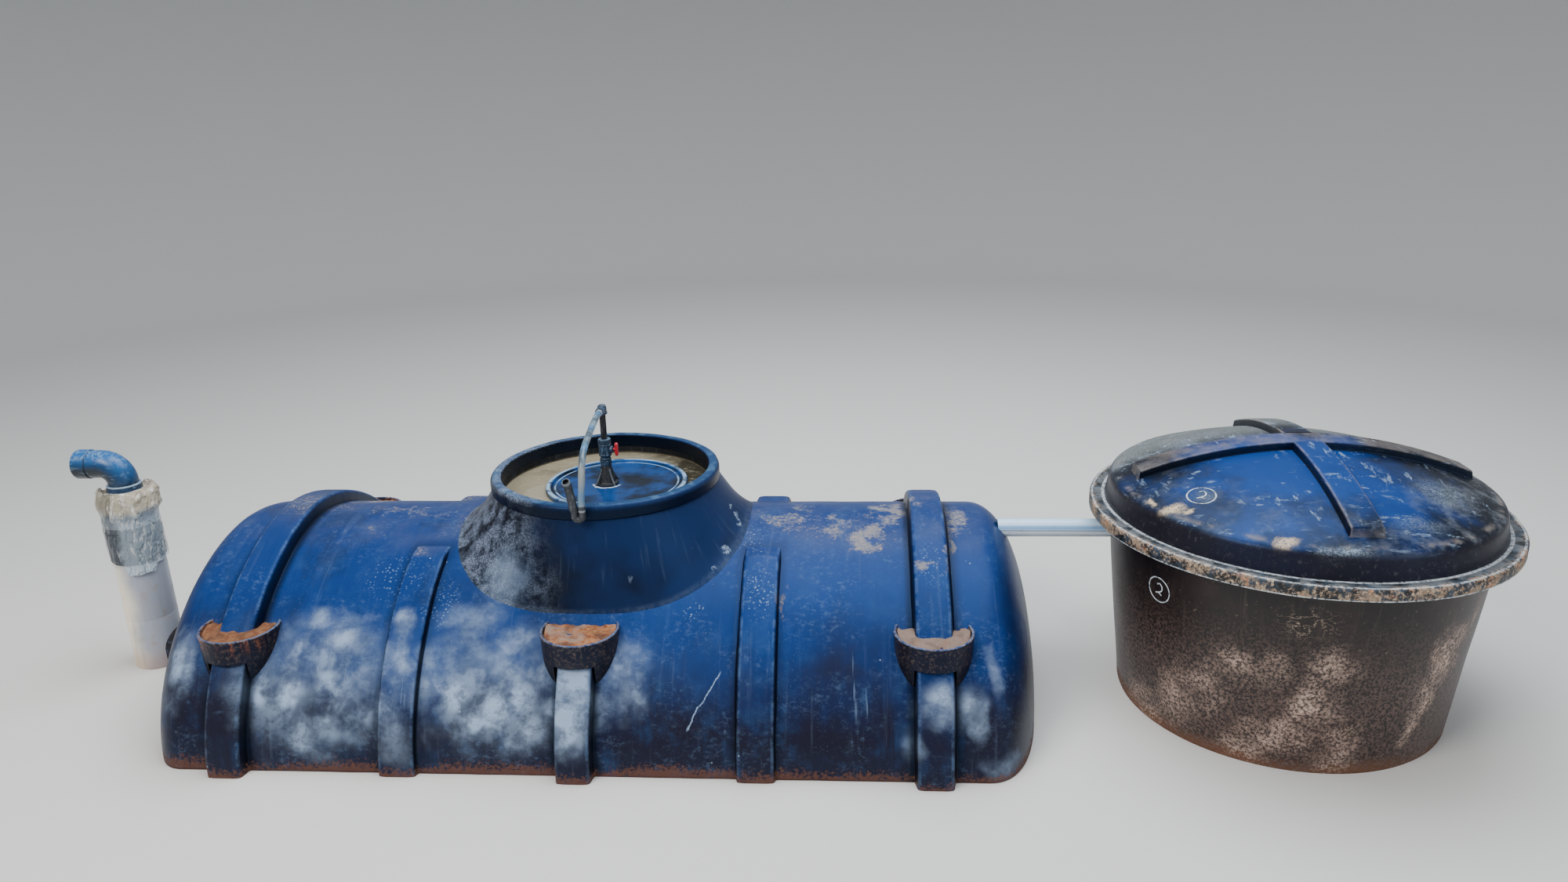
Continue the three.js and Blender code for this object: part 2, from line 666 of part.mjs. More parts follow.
// The domed lid with its raised cross, hollow underneath.
function slurryLid() {
  const { x, y } = SLURRY;
  const { foot, wall, armWidth, armReach, armFoot, step } = SLURRY_LID;
  const base = SLURRY.height + SLURRY_RIM.plate + GAP;
  const dome = turned([[0, base], ...lidProfile(0, 0)], x, y, ROUND);
  const raised = turned([[0, base], ...lidProfile(0, step)], x, y, ROUND);
  const half = armWidth / 2;
  const armZ = base + armFoot;
  const along = block([x - armReach, y - half, armZ], [x + armReach, y + half, FAR]);
  const across = block([x - half, y - armReach, armZ], [x + half, y + armReach, FAR]);
  const hollow = turned([[0, base - 1], [foot - wall, base - 1], ...lidProfile(wall, 0)], x, y, ROUND);
  return dome.add(raised.intersect(along.add(across))).subtract(hollow);
}

// Assembly

const plant = new THREE.Group();
plant.position.set(-CENTRE_X, -CENTRE_Y, 0);

// Adds a solid to the plant as a named mesh.
function add(name, body, finish) {
  const mesh = new THREE.Mesh(shaped(body), new THREE.MeshStandardMaterial(FINISH[finish]));
  mesh.name = name;
  plant.add(mesh);
}

const SIDES = [["left", -1], ["right", 1]];
const FACES = [["front", -1], ["back", 1]];

function addTank() {
  add("centre_barrel", centreBarrel(), "blackPlastic");
  for (const [side, sign] of SIDES) {
    const [from, to] = sign < 0 ? [-BARREL.straight, -HOOP.x] : [HOOP.x, BARREL.straight];
    add(`${side}_barrel`, barrelShell(from, to), "blackPlastic");
    const whole = dishedEnd(sign);
    const holed = sign > 0 ? whole.subtract(outletBar(OUTLET.radius + GAP, OUTLET.fromX - 100, SLURRY.x)) : whole;
    add(`${side}_end`, holed, "blackPlastic");
    add(`${side}_hoop`, hoop(sign), "blackPlastic");
  }
}

function addRibsAndLugs() {
  const neck = skirtBody(GAP, null);
  for (const [face, sign] of FACES) {
    for (const [side, hand] of SIDES) add(`${face}_${side}_band`, band(hand, sign, neck), "blackPlastic");
    add(`${face}_centre_post`, centrePost(sign), "blackPlastic");
    add(`${face}_centre_lug`, lug(0, sign, neck), "blackPlastic");
    for (const [side, hand] of SIDES) {
      const foot = HOOP.foot + 4 * GAP; // wide enough to clear the hoop's side from its sunk foot up
      const grown = { ...HOOP, foot, top: HOOP.top + GAP, proud: HOOP.proud + GAP };
      const cutter = archRib(hand * HOOP.x, grown, 0, 1, BARREL.facets, -SUNK);
      add(`${face}_${side}_lug`, lug(hand * HOOP.x, sign, cutter), "blackPlastic");
    }
  }
}

function addNeck() {
  add("neck_skirt", neckSkirt(), "blackPlastic");
  add("neck_rim", neckRim(), "blackPlastic");
  add("neck_collar", neckCollar(), "innerPlastic");
  add("seal_trough", sealTrough(), "innerPlastic");
  add("gas_lid", gasLid(), "blackPlastic");
}

function addGasFittings() {
  add("lid_boss", lidBoss(), "blackPlastic");
  add("lid_socket", lidSocket(), "valveGrey");
  add("valve_body", valveBody(), "valveGrey");
  add("valve_union_ring", unionRing(), "valveGrey");
  add("valve_handle", valveHandle(), "redPlastic");
  add("gas_riser", gasRiser(), "innerPlastic");
  add("gas_elbow", gasElbow(), "valveGrey");
  add("gas_hose", gasHose(), "clearHose");
  add("hose_return", hoseReturn(), "innerPlastic");
}

function addInlet() {
  add("inlet_foot", inletFoot(dish(-1, 0).translate([-GAP, 0, 0])), "innerPlastic");
  add("inlet_pipe", inletPipe(), "whitePvc");
  add("inlet_coupling", inletCoupling(), "whitePvc");
  add("inlet_wrap", inletWrap(), "clearFilm");
  add("inlet_elbow", inletElbow(), "greyPvc");
}

function addSlurryTank() {
  add("outlet_pipe", outletPipe(), "greyPvc");
  for (let i = 0; i < SLURRY.parts; i++) add(`slurry_wall_${i + 1}`, slurryWall(i), "blackPlastic");
  add("slurry_floor", slurryFloor(), "innerPlastic");
  add("slurry_rim", slurryRim(), "blackPlastic");
  add("slurry_lid", slurryLid(), "blackPlastic");
}

addTank();
addRibsAndLugs();
addNeck();
addGasFittings();
addInlet();
addSlurryTank();

const digester = new THREE.Group();
digester.add(plant);

export default digester;
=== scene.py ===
"""Household biogas digester: the looks of the moulded tank, its neck and gas fittings, its inlet
and outlet pipes and its slurry tank, over the fixed frame. Shapes are worked out in metres round
the neck's axis, with +X along the tank and -Y at the front, and moved to the frame by NECK."""
from __future__ import annotations

import logging
import math
from dataclasses import dataclass
from enum import Enum
from typing import Mapping, Sequence

import bmesh
import bpy
import numpy as np
from mathutils import Matrix
from numpy.typing import NDArray


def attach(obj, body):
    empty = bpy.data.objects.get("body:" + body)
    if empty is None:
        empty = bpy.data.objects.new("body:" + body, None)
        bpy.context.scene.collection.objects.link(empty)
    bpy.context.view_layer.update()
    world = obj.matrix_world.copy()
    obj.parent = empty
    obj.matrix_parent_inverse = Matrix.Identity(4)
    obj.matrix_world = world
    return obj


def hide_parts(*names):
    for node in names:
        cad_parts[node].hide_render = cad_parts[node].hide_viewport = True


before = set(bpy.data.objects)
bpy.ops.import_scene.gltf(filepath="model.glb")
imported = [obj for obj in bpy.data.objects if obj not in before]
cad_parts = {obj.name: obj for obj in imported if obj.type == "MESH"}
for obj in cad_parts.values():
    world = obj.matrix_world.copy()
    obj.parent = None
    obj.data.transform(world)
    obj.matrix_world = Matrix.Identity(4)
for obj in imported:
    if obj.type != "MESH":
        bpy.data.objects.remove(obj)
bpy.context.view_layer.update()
# The neck's axis in the frame, and the inlet's place along the tank from it
NECK = np.array([-0.501, 0.004, 0.0])
INLET_X = -1.702

Array = NDArray[np.float64]
Pair = tuple[float, float]
Point = tuple[float, float, float]
Colour = tuple[float, float, float, float]
Piece = bpy.types.Object
Socket = bpy.types.NodeSocket


class Body(Enum):
    """The bodies that a piece can ride on."""

    PLANT = "plant"
    HANDLE = "handle"
    LID = "lid"


class Slot(Enum):
    """The record's material slots."""

    BLACK = "black_plastic"
    DARK = "dark_plastic"
    SLURRY = "slurry_plastic"
    VALVE = "valve_plastic"
    RED = "red_plastic"
    WHITE = "white_pipe"
    BLUE = "blue_pipe"
    CLEAR = "clear_plastic"


# Number and shape helpers


def smooth(low: float, high: float, value: Array) -> Array:
    """Rises from 0 at low to 1 at high as 3t² - 2t³.

    Args:
        low: The value where the rise starts; it may lie above high.
        high: The value where it ends.
        value: The values to map.

    Returns:
        The mapped values.
    """
    t = np.clip((value - low) / (high - low), 0.0, 1.0)
    return t * t * (3 - 2 * t)


def ripple(points: Array, reach: float, seed: int = 1, octaves: int = 3) -> Array:
    """Slow unevenness, about -1 to 1: sums of sine waves in fixed slanted directions, each octave
    half as long and half as high as the one before.

    Args:
        points: Points, with x, y, z on the last axis.
        reach: Length of the longest wave.
        seed: Picks the directions.
        octaves: Number of octaves.

    Returns:
        One height for each point.
    """
    chosen = np.random.default_rng(seed)
    total = np.zeros(points.shape[:-1])
    for octave in range(octaves):
        ways = chosen.normal(size=(5, 3))
        ways /= np.linalg.norm(ways, axis=1, keepdims=True)
        phases = chosen.uniform(0, 2 * math.pi, 5)
        waves = np.sin(points @ ways.T * (2 * math.pi * 2**octave / reach) + phases)
        total += waves.mean(-1) * 1.6 * 0.5**octave
    return total


def rounded(corners: Sequence[Sequence[float]], radii: float | Sequence[float], steps: int = 5,
            closed: bool = False) -> Array:
    """An outline with its corners rounded: near corner b the line is a(1-t)² + 2bt(1-t) + ct²,
    where a and c lie at the corner's radius from b towards its neighbours.

    Args:
        corners: The corners in order.
        radii: One radius, or one for each corner.
        steps: Points at each corner.
        closed: Whether the last corner joins the first.

    Returns:
        The points of the outline.
    """
    p = np.asarray(corners, float)
    reach = np.broadcast_to(np.asarray(radii, float), len(p))[:, None]
    before, after = np.roll(p, 1, 0), np.roll(p, -1, 0)
    if not closed:
        before[0], after[-1] = p[0], p[-1]

    def toward(other: Array) -> Array:
        """The point at the radius from each corner on the way to its neighbour.

        Args:
            other: The neighbours.

        Returns:
            The points.
        """
        way = other - p
        length = np.maximum(np.linalg.norm(way, axis=1, keepdims=True), 1e-9)
        return p + way * np.minimum(reach / length, 0.49)

    t = np.linspace(0, 1, steps)[None, :, None]
    a, b, c = toward(before)[:, None], p[:, None], toward(after)[:, None]
    return (a * (1 - t) ** 2 + 2 * b * t * (1 - t) + c * t**2).reshape(-1, p.shape[1])


def full_turn(steps: int) -> Array:
    """Evenly spaced angles of a full turn, as one row."""
    return np.linspace(0, 2 * math.pi, steps, endpoint=False)[None, :]


def hump(half: Sequence[Pair], radii: Sequence[float], crown: float, reach: float) -> Array:
    """The outline of a rounded hump: its right half from the top down, mirrored to the left, with
    a few points of a flat crown between them.

    Args:
        half: The corners of the right half as (offset, height).
        radii: The rounding of each of them.
        crown: The crown's height.
        reach: How far the crown's points reach from the middle.

    Returns:
        The points of the outline, from left to right.
    """
    corners = [(-offset, height) for offset, height in reversed(half)] + list(half)
    sides = rounded(corners, [*reversed(radii), *radii], 6)
    middle = len(sides) // 2
    flat = [[offset, crown] for offset in np.linspace(-reach, reach, 5)]
    return np.concatenate([sides[:middle], flat, sides[middle:]])


def lathe(profile: Array, at: Pair = (0.0, 0.0), turns: int = 96) -> Array:
    """A profile of (radius, height) turned about an upright axis: x = r cos a, y = r sin a.

    Args:
        profile: The profile's points.
        at: Where the axis stands.
        turns: Points round the axis.

    Returns:
        Points with one row for each point of the profile.
    """
    angle = full_turn(turns)
    radius, height = profile[:, :1], profile[:, 1:]
    x, y = at[0] + radius * np.cos(angle), at[1] + radius * np.sin(angle)
    return np.stack(np.broadcast_arrays(x, y, height), -1)


def lathe_x(profile: Array, y: float, z: float, turns: int = 64) -> Array:
    """A profile of (x, radius) turned about a line along X: y + r cos a, z + r sin a.

    Args:
        profile: The profile's points.
        y: The line's place across the tank.
        z: The line's height.
        turns: Points round the line.

    Returns:
        Points with one row for each point of the profile.
    """
    angle = full_turn(turns)
    x, radius = profile[:, :1], profile[:, 1:]
    return np.stack(np.broadcast_arrays(x, y + radius * np.cos(angle), z + radius * np.sin(angle)), -1)


def carried(centres: Array, radii: Array | float, side: Point, turns: int = 24,
            tangents: Array | None = None, flat: float = 1.0) -> Array:
    """A round section carried along a line: c + r(cos a · u + flat · sin a · v), where u is the
    side direction made square to the tangent t, and v = t × u.

    Args:
        centres: Points of the line.
        radii: The radius at each point.
        side: A direction that is never along the line.
        turns: Points round the section.
        tangents: The line's directions, worked out from the points where not given.
        flat: The section's thickness over its width.

    Returns:
        Points with one row for each point of the line.
    """
    t = np.gradient(centres, axis=0) if tangents is None else tangents
    t = t / np.linalg.norm(t, axis=1, keepdims=True)
    u = np.asarray(side, float) - t * (t @ np.asarray(side, float))[:, None]
    u /= np.linalg.norm(u, axis=1, keepdims=True)
    v = np.cross(t, u)
    angle = full_turn(turns)[..., None]
    radius = np.broadcast_to(np.asarray(radii, float), len(centres))[:, None, None]
    return centres[:, None] + radius * (np.cos(angle) * u[:, None] + flat * np.sin(angle) * v[:, None])


def through(points: Sequence[Point], steps: int) -> Array:
    """A smooth line through points: between two of them it is the cubic with the end slopes that
    the neighbours give, h00·p0 + h10·m0 + h01·p1 + h11·m1.

    Args:
        points: The points to pass.
        steps: Number of points on the line.

    Returns:
        The line's points, evenly spaced by chord.
    """
    p = np.asarray(points, float)
    along = np.concatenate([[0.0], np.cumsum(np.linalg.norm(np.diff(p, axis=0), axis=1))])
    slope = np.gradient(p, along, axis=0)
    at = np.linspace(0, along[-1], steps)
    k = np.clip(np.searchsorted(along, at, side="right") - 1, 0, len(p) - 2)
    h = (along[k + 1] - along[k])[:, None]
    u = (at - along[k])[:, None] / h
    return ((2 * u**3 - 3 * u**2 + 1) * p[k] + (u**3 - 2 * u**2 + u) * h * slope[k]
            + (3 * u**2 - 2 * u**3) * p[k + 1] + (u**3 - u**2) * h * slope[k + 1])


def tint(code: str) -> Colour:
    """A linear colour from a screen colour.

    Args:
        code: The screen colour, as # and six hexadecimal digits.

    Returns:
        Red, green, blue and 1.
    """
    parts = [int(code[i : i + 2], 16) / 255 for i in (1, 3, 5)]
    line = [c / 12.92 if c <= 0.04045 else ((c + 0.055) / 1.055) ** 2.4 for c in parts]
    return (line[0], line[1], line[2], 1.0)


class Skin:
    """Gathers grids of points and makes one mesh object of them."""

    def __init__(self) -> None:
        """Starts with nothing gathered."""
        self.points: list[Array] = []
        self.quads: list[Array] = []
        self.wear_and_highlight: list[Array] = []
        self.shade: list[Array] = []
        self.count = 0

    def grid(self, points: Array, along: bool = False, around: bool = False,
             wear_and_highlight: Array | float = 0.0, shade: Array | float = 0.0) -> Skin:
        """Adds a surface with one row of points for each step along it.

        Args:
            points: Rows and columns of points.
            along: Whether the last row joins the first.
            around: Whether the last column joins the first.
            wear_and_highlight: How worn each point is, and how strongly it takes a painted highlight, 0 to 1.
            shade: How much painted shade each point gets, 0 to 1.

        Returns:
            The skin itself.
        """
        rows, columns = points.shape[:2]
        index = np.arange(rows * columns).reshape(rows, columns) + self.count
        if around:
            index = np.concatenate([index, index[:, :1]], 1)
        if along:
            index = np.concatenate([index, index[:1]], 0)
        corners = (index[:-1, :-1], index[:-1, 1:], index[1:, 1:], index[1:, :-1])
        self.quads.append(np.stack(corners, -1).reshape(-1, 4))
        self.points.append(points.reshape(-1, 3))
        self.wear_and_highlight.append(np.broadcast_to(wear_and_highlight, (rows, columns)).ravel())
        self.shade.append(np.broadcast_to(shade, (rows, columns)).ravel())
        self.count += rows * columns
        return self

    def loft(self, sections: Array, wear_and_highlight: Array | float = 0.0, shade: Array | float = 0.0) -> Skin:
        """Adds a closed body through closed sections; each end is closed at its middle.

        Args:
            sections: Rows of points, each row a closed section.
            wear_and_highlight: How worn each point is, and how strongly it takes a painted highlight.
            shade: How much painted shade each point gets.

        Returns:
            The skin itself.
        """
        rows, columns = sections.shape[:2]
        middle = np.repeat(sections[[0, -1]].mean(1, keepdims=True), columns, 1)
        whole = np.concatenate([middle[:1], sections, middle[1:]])
        marks = [np.pad(np.broadcast_to(m, (rows, columns)), ((1, 1), (0, 0)), "edge") for m in (wear_and_highlight, shade)]
        return self.grid(whole, around=True, wear_and_highlight=marks[0], shade=marks[1])

    def build(self, name: str, inside: Point | None = None, crease: float = 34.0,
              face: int = -1, wall: float = 0.0) -> Piece:
        """Makes the object.

        Args:
            name: The object's name.
            inside: For an open surface, a point that its faces turn away from.
            crease: Edges that turn by more degrees than this stay sharp.
            face: -1 for a piece at the front, 1 to mirror it to the back.
            wall: Thickness that the surface gets inwards.

        Returns:
            The object, at the origin with its place in its mesh.
        """
        turned = np.array([1.0, -face, 1.0])
        points = np.concatenate(self.points) * turned + NECK
        mesh = bpy.data.meshes.new(name)
        mesh.from_pydata(points.tolist(), [], np.concatenate(self.quads).tolist())
        for label, marks in (("wear_and_highlight", self.wear_and_highlight), ("shade", self.shade)):
            values = np.concatenate(marks).astype(np.float32)
            mesh.attributes.new(label, "FLOAT", "POINT").data.foreach_set("value", values)
        work = bmesh.new()
        work.from_mesh(mesh)
        bmesh.ops.remove_doubles(work, verts=work.verts, dist=2e-5)
        bmesh.ops.recalc_face_normals(work, faces=work.faces)
        if inside is not None:
            core = Matrix.Translation(np.array(inside) * turned + NECK).translation
            outwards = sum(f.normal.dot(f.calc_center_median() - core) * f.calc_area() for f in work.faces)
            if outwards < 0:
                bmesh.ops.reverse_faces(work, faces=work.faces)
        work.to_mesh(mesh)
        work.free()
        mesh.shade_smooth()
        mesh.set_sharp_from_angle(angle=math.radians(crease))
        piece = bpy.data.objects.new(name, mesh)
        bpy.context.scene.collection.objects.link(piece)
        if wall:
            shell = piece.modifiers.new("wall", "SOLIDIFY")
            shell.thickness, shell.offset, shell.use_rim = wall, -1.0, True
        return piece


# Shader helpers


class Num:
    """A shader number that works in Python expressions."""

    def __init__(self, paint: Paint, socket: Socket) -> None:
        """Wraps a value socket of a material."""
        self.paint = paint
        self.socket = socket

    def _math(self, operation: str, first: Num | float, second: Num | float) -> Num:
        """Adds one Math node."""
        node = self.paint.node("ShaderNodeMath", {"operation": operation}, {0: first, 1: second})
        return Num(self.paint, node.outputs[0])

    def __add__(self, other: Num | float) -> Num:
        """The sum."""
        return self._math("ADD", self, other)

    __radd__ = __add__

    def __sub__(self, other: Num | float) -> Num:
        """The difference."""
        return self._math("SUBTRACT", self, other)

    def __mul__(self, other: Num | float) -> Num:
        """The product."""
        return self._math("MULTIPLY", self, other)

    __rmul__ = __mul__

    def __truediv__(self, other: Num | float) -> Num:
        """The quotient."""
        return self._math("DIVIDE", self, other)

    def most(self, other: Num | float) -> Num:
        """The larger of two."""
        return self._math("MAXIMUM", self, other)

    def bearing(self, along: Num) -> Num:
        """The angle of the direction that goes this far across and so far along."""
        return self._math("ARCTAN2", self, along)

    def size(self) -> Num:
        """The value without its sign."""
        return self._math("ABSOLUTE", self, 0.0)

    def smooth(self, low: float, high: float) -> Num:
        """Rises from 0 at low to 1 at high; low may lie above high."""
        node = self.paint.node("ShaderNodeMapRange", {"interpolation_type": "SMOOTHSTEP"},
                               {"Value": self, "From Min": low, "From Max": high})
        return Num(self.paint, node.outputs["Result"])


Value = Num | float | Sequence[float] | Socket


@dataclass(frozen=True)
class Spot:
    """A marked place, such as a stain or a patch of painted sunlight: its middle, its reach on each axis, and
    its strength.
    """

    at: Point
    reach: Point
    strength: float = 1.0


class Paint:
    """Builds one material from shader nodes."""

    def __init__(self, name: str) -> None:
        """Starts a material with a surface shader and the object's coordinates about the neck.

        Args:
            name: The material's name.
        """
        self.material = bpy.data.materials.new(name)
        self.material.use_nodes = True
        self.tree = self.material.node_tree
        self.tree.nodes.clear()
        self.surface = self.node("ShaderNodeBsdfPrincipled")
        self.node("ShaderNodeOutputMaterial", inputs={"Surface": self.surface.outputs[0]})
        own = self.node("ShaderNodeTexCoord").outputs["Object"]
        self.place = self.vector("SUBTRACT", own, tuple(NECK))
        apart = self.node("ShaderNodeSeparateXYZ", inputs={0: self.place})
        self.x, self.y, self.z = (Num(self, apart.outputs[i]) for i in range(3))
        self.colour: Value = (0.0, 0.0, 0.0, 1.0)

    def node(self, kind: str, settings: Mapping[str, object] | None = None,
             inputs: Mapping[int | str, Value] | None = None) -> bpy.types.Node:
        """Adds a node.

        Args:
            kind: The node's type.
            settings: Its properties, which are set first.
            inputs: Values or links for its sockets.

        Returns:
            The node.
        """
        made = self.tree.nodes.new(kind)
        for key, value in (settings or {}).items():
            setattr(made, key, value)
        for key, value in (inputs or {}).items():
            self.feed(made.inputs[key], value)
        return made

    def feed(self, socket: Socket, value: Value) -> None:
        """Links a value to a socket, or sets the socket to it.

        Args:
            socket: The input.
            value: A constant, or the output to link.
        """
        if isinstance(value, Num):
            self.tree.links.new(value.socket, socket)
        elif isinstance(value, Socket):
            self.tree.links.new(value, socket)
        else:
            socket.default_value = value

    def vector(self, operation: str, first: Value, second: Value) -> Socket:
        """The result of one Vector Math node."""
        return self.node("ShaderNodeVectorMath", {"operation": operation}, {0: first, 1: second}).outputs[0]

    def length(self, vector: Value) -> Num:
        """The length of a vector."""
        node = self.node("ShaderNodeVectorMath", {"operation": "LENGTH"}, {0: vector})
        return Num(self, node.outputs["Value"])

    def mix(self, share: Num | float, first: Value, second: Value) -> Socket:
        """A colour between two."""
        return self.node("ShaderNodeMix", {"data_type": "RGBA"}, {0: share, 6: first, 7: second}).outputs[2]

    def start(self, share: Num | float, first: str, second: str) -> None:
        """Starts the base colour as a blend of two."""
        self.colour = self.mix(share, tint(first), tint(second))

    def over(self, share: Num | float, code: str) -> None:
        """Lays one more colour over the base colour, by its share."""
        self.colour = self.mix(share, self.colour, tint(code))

    def cloud(self, place: Value, scale: float, detail: float, rough: float) -> Num:
        """Cloudy values at a place that is already drawn out or moved."""
        inputs = {"Vector": place, "Scale": scale, "Detail": detail, "Roughness": rough}
        return Num(self, self.node("ShaderNodeTexNoise", inputs=inputs).outputs[0])

    def noise(self, scale: float, detail: float = 3.0, stretch: Point = (1, 1, 1), rough: float = 0.55,
              shift: float = 0.0) -> Num:
        """Cloudy values from 0 to 1.

        Args:
            scale: Clouds in a metre.
            detail: Octaves.
            stretch: Factors on each axis; a small one draws the clouds out along it.
            rough: Strength of each octave against the one before.
            shift: Moves the pattern, so that two aren't alike.

        Returns:
            The value.
        """
        place = self.vector("MULTIPLY", self.place, stretch) if stretch != (1, 1, 1) else self.place
        if shift:
            place = self.vector("ADD", place, (shift, shift * 0.7, shift * 0.3))
        return self.cloud(place, scale, detail, rough)

    def runs(self, at: Pair, scale: float, stretch: float, rough: float = 0.6) -> Num:
        """Cloudy values drawn out down a round piece.

        Args:
            at: Where the piece's axis stands.
            scale: Runs in a metre round a circle of half a metre.
            stretch: Factor on the height.
            rough: Strength of each octave against the one before.

        Returns:
            The value, from 0 to 1.
        """
        angle = (self.y - at[1]).bearing(self.x - at[0]) * 0.5
        place = self.node("ShaderNodeCombineXYZ", inputs={0: angle, 1: self.z * stretch, 2: 0.0}).outputs[0]
        return self.cloud(place, scale, 4.0, rough)

    def cells(self, scale: float, stretch: Point = (1, 1, 1)) -> Num:
        """Distance to the middle of the nearest of scattered cells."""
        inputs = {"Vector": self.vector("MULTIPLY", self.place, stretch), "Scale": scale}
        return Num(self, self.node("ShaderNodeTexVoronoi", inputs=inputs).outputs["Distance"])

    def radius(self, at: Pair = (0.0, 0.0), stretch: Point = (1, 1, 0)) -> Num:
        """The distance from an upright axis, with factors on each axis."""
        off = self.vector("SUBTRACT", self.place, (*at, 0.0))
        return self.length(self.vector("MULTIPLY", off, stretch))

    def mark(self, name: str) -> Num:
        """One of the marks that the mesh carries."""
        return Num(self, self.node("ShaderNodeAttribute", {"attribute_name": name}).outputs["Fac"])

    def upward(self) -> Num:
        """How far the surface faces up, -1 to 1."""
        normal = self.node("ShaderNodeNewGeometry").outputs["Normal"]
        return Num(self, self.node("ShaderNodeSeparateXYZ", inputs={0: normal}).outputs[2])

    def spots(self, spots: Sequence[Spot], ragged: float, scale: float = 9.0, edge: float = 0.55) -> Num:
        """A mask of marked places, stains and patches of painted light alike, with ragged edges.

        Args:
            spots: The places.
            ragged: How far their edges stray, in metres.
            scale: Clouds in a metre in the straying.
            edge: The share of the reach where a spot starts to fade.

        Returns:
            The mask, 0 to the strongest spot.
        """
        cloud = self.node("ShaderNodeTexNoise", inputs={"Vector": self.place, "Scale": scale, "Detail": 4.0})
        stray = self.vector("SUBTRACT", cloud.outputs[1], (0.5, 0.5, 0.5))
        place = self.vector("ADD", self.place, self.vector("MULTIPLY", stray, (ragged, ragged, ragged)))
        mask: Num | None = None
        for spot in spots:
            off = self.vector("DIVIDE", self.vector("SUBTRACT", place, spot.at), spot.reach)
            one = self.length(off).smooth(1.2, edge) * spot.strength
            mask = one if mask is None else mask.most(one)
        assert mask is not None
        return mask

    def dress(self, roughness: Value, height: Num | None = None, depth: float = 0.001,
              strength: float = 0.5, level: float = 0.5, **constants: Value) -> None:
        """Feeds the surface shader, with the base colour as it stands.

        Args:
            roughness: Roughness.
            height: Height of the fine relief, 0 to 1.
            depth: How deep the relief is, in metres.
            strength: How strongly it shows.
            level: Specular level.
            **constants: Other sockets, with _ for the spaces in their names.
        """
        self.feed(self.surface.inputs["Base Color"], self.colour)
        self.feed(self.surface.inputs["Roughness"], roughness)
        self.feed(self.surface.inputs["Specular IOR Level"], level)
        for key, value in constants.items():
            self.feed(self.surface.inputs[key.replace("_", " ")], value)
        if height is not None:
            relief = {"Strength": strength, "Distance": depth, "Height": height}
            self.feed(self.surface.inputs["Normal"], self.node("ShaderNodeBump", inputs=relief).outputs[0])


# Finishes


@dataclass(frozen=True)
class Finish:
    """A surface finish, whose material is made once."""

    label: str

    def material(self) -> bpy.types.Material:
        """The finish's material.

        Returns:
            The material, made at the first call.
        """
        made = bpy.data.materials.get(self.label)
        if made is None:
            paint = Paint(self.label)
            self.fill(paint)
            made = paint.material
        return made

    def fill(self, paint: Paint) -> None:
        """Fills the material's nodes.

        Args:
            paint: The material to fill.
        """
        raise NotImplementedError


# The sky's blue in the plastic's shine
SHEEN: Colour = (0.26, 0.48, 1.0, 1.0)
# Painted sun dapples: pale patches of sunlight on the dusty barrel and skirt
SUN_DAPPLES = (
    Spot((-0.54, -0.665, 0.11), (0.07, 0.09, 0.1), 0.9), Spot((-0.8, -0.66, 0.12), (0.2, 0.05, 0.06), 0.8),
    Spot((-0.92, -0.64, 0.17), (0.08, 0.05, 0.06), 0.8), Spot((-0.47, -0.6, 0.26), (0.05, 0.08, 0.1), 0.8),
    Spot((-0.776, -0.46, 0.396), (0.14, 0.07, 0.035)), Spot((-0.725, -0.508, 0.353), (0.12, 0.08, 0.05)),
    Spot((-0.878, -0.601, 0.237), (0.12, 0.06, 0.075)), Spot((-0.637, -0.568, 0.285), (0.05, 0.08, 0.1)),
    Spot((-0.337, -0.45, 0.404), (0.12, 0.07, 0.06)), Spot((-0.26, -0.552, 0.304), (0.09, 0.07, 0.07)),
    Spot((-0.391, -0.564, 0.29), (0.04, 0.06, 0.06)), Spot((-0.157, -0.606, 0.23), (0.07, 0.06, 0.06)),
    Spot((-0.398, -0.62, 0.206), (0.035, 0.05, 0.05)), Spot((-0.27, -0.64, 0.172), (0.05, 0.05, 0.03)),
    Spot((-0.27, -0.4, 0.52), (0.09, 0.09, 0.1)), Spot((-0.03, -0.6, 0.25), (0.025, 0.1, 0.03)),
    Spot((-1.244, -0.553, 0.303), (0.05, 0.1, 0.1)), Spot((1.109, -0.63, 0.218), (0.11, 0.07, 0.09), 1.3),
    Spot((0.99, -0.659, 0.119), (0.045, 0.06, 0.06)), Spot((1.236, -0.558, 0.298), (0.03, 0.09, 0.07)),
    Spot((1.195, -0.635, 0.177), (0.03, 0.06, 0.08)), Spot((1.285, -0.676, 0.044), (0.08, 0.09, 0.05)),
    Spot((-0.54, -0.6, 0.29), (0.05, 0.09, 0.05)), Spot((-0.55, -0.66, 0.15), (0.06, 0.09, 0.06)),
    Spot((-0.55, -0.52, 0.41), (0.04, 0.09, 0.04)), Spot((0.0, -0.66, 0.22), (0.07, 0.09, 0.13), 1.3),
    Spot((-0.8, -0.63, 0.2), (0.1, 0.05, 0.02), 0.7), Spot((-0.7, 0.5, 0.33), (0.16, 0.12, 0.09), 0.8),
    Spot((0.35, 0.56, 0.28), (0.14, 0.1, 0.1), 0.7), Spot((0.95, 0.5, 0.36), (0.11, 0.1, 0.08), 0.8),
)
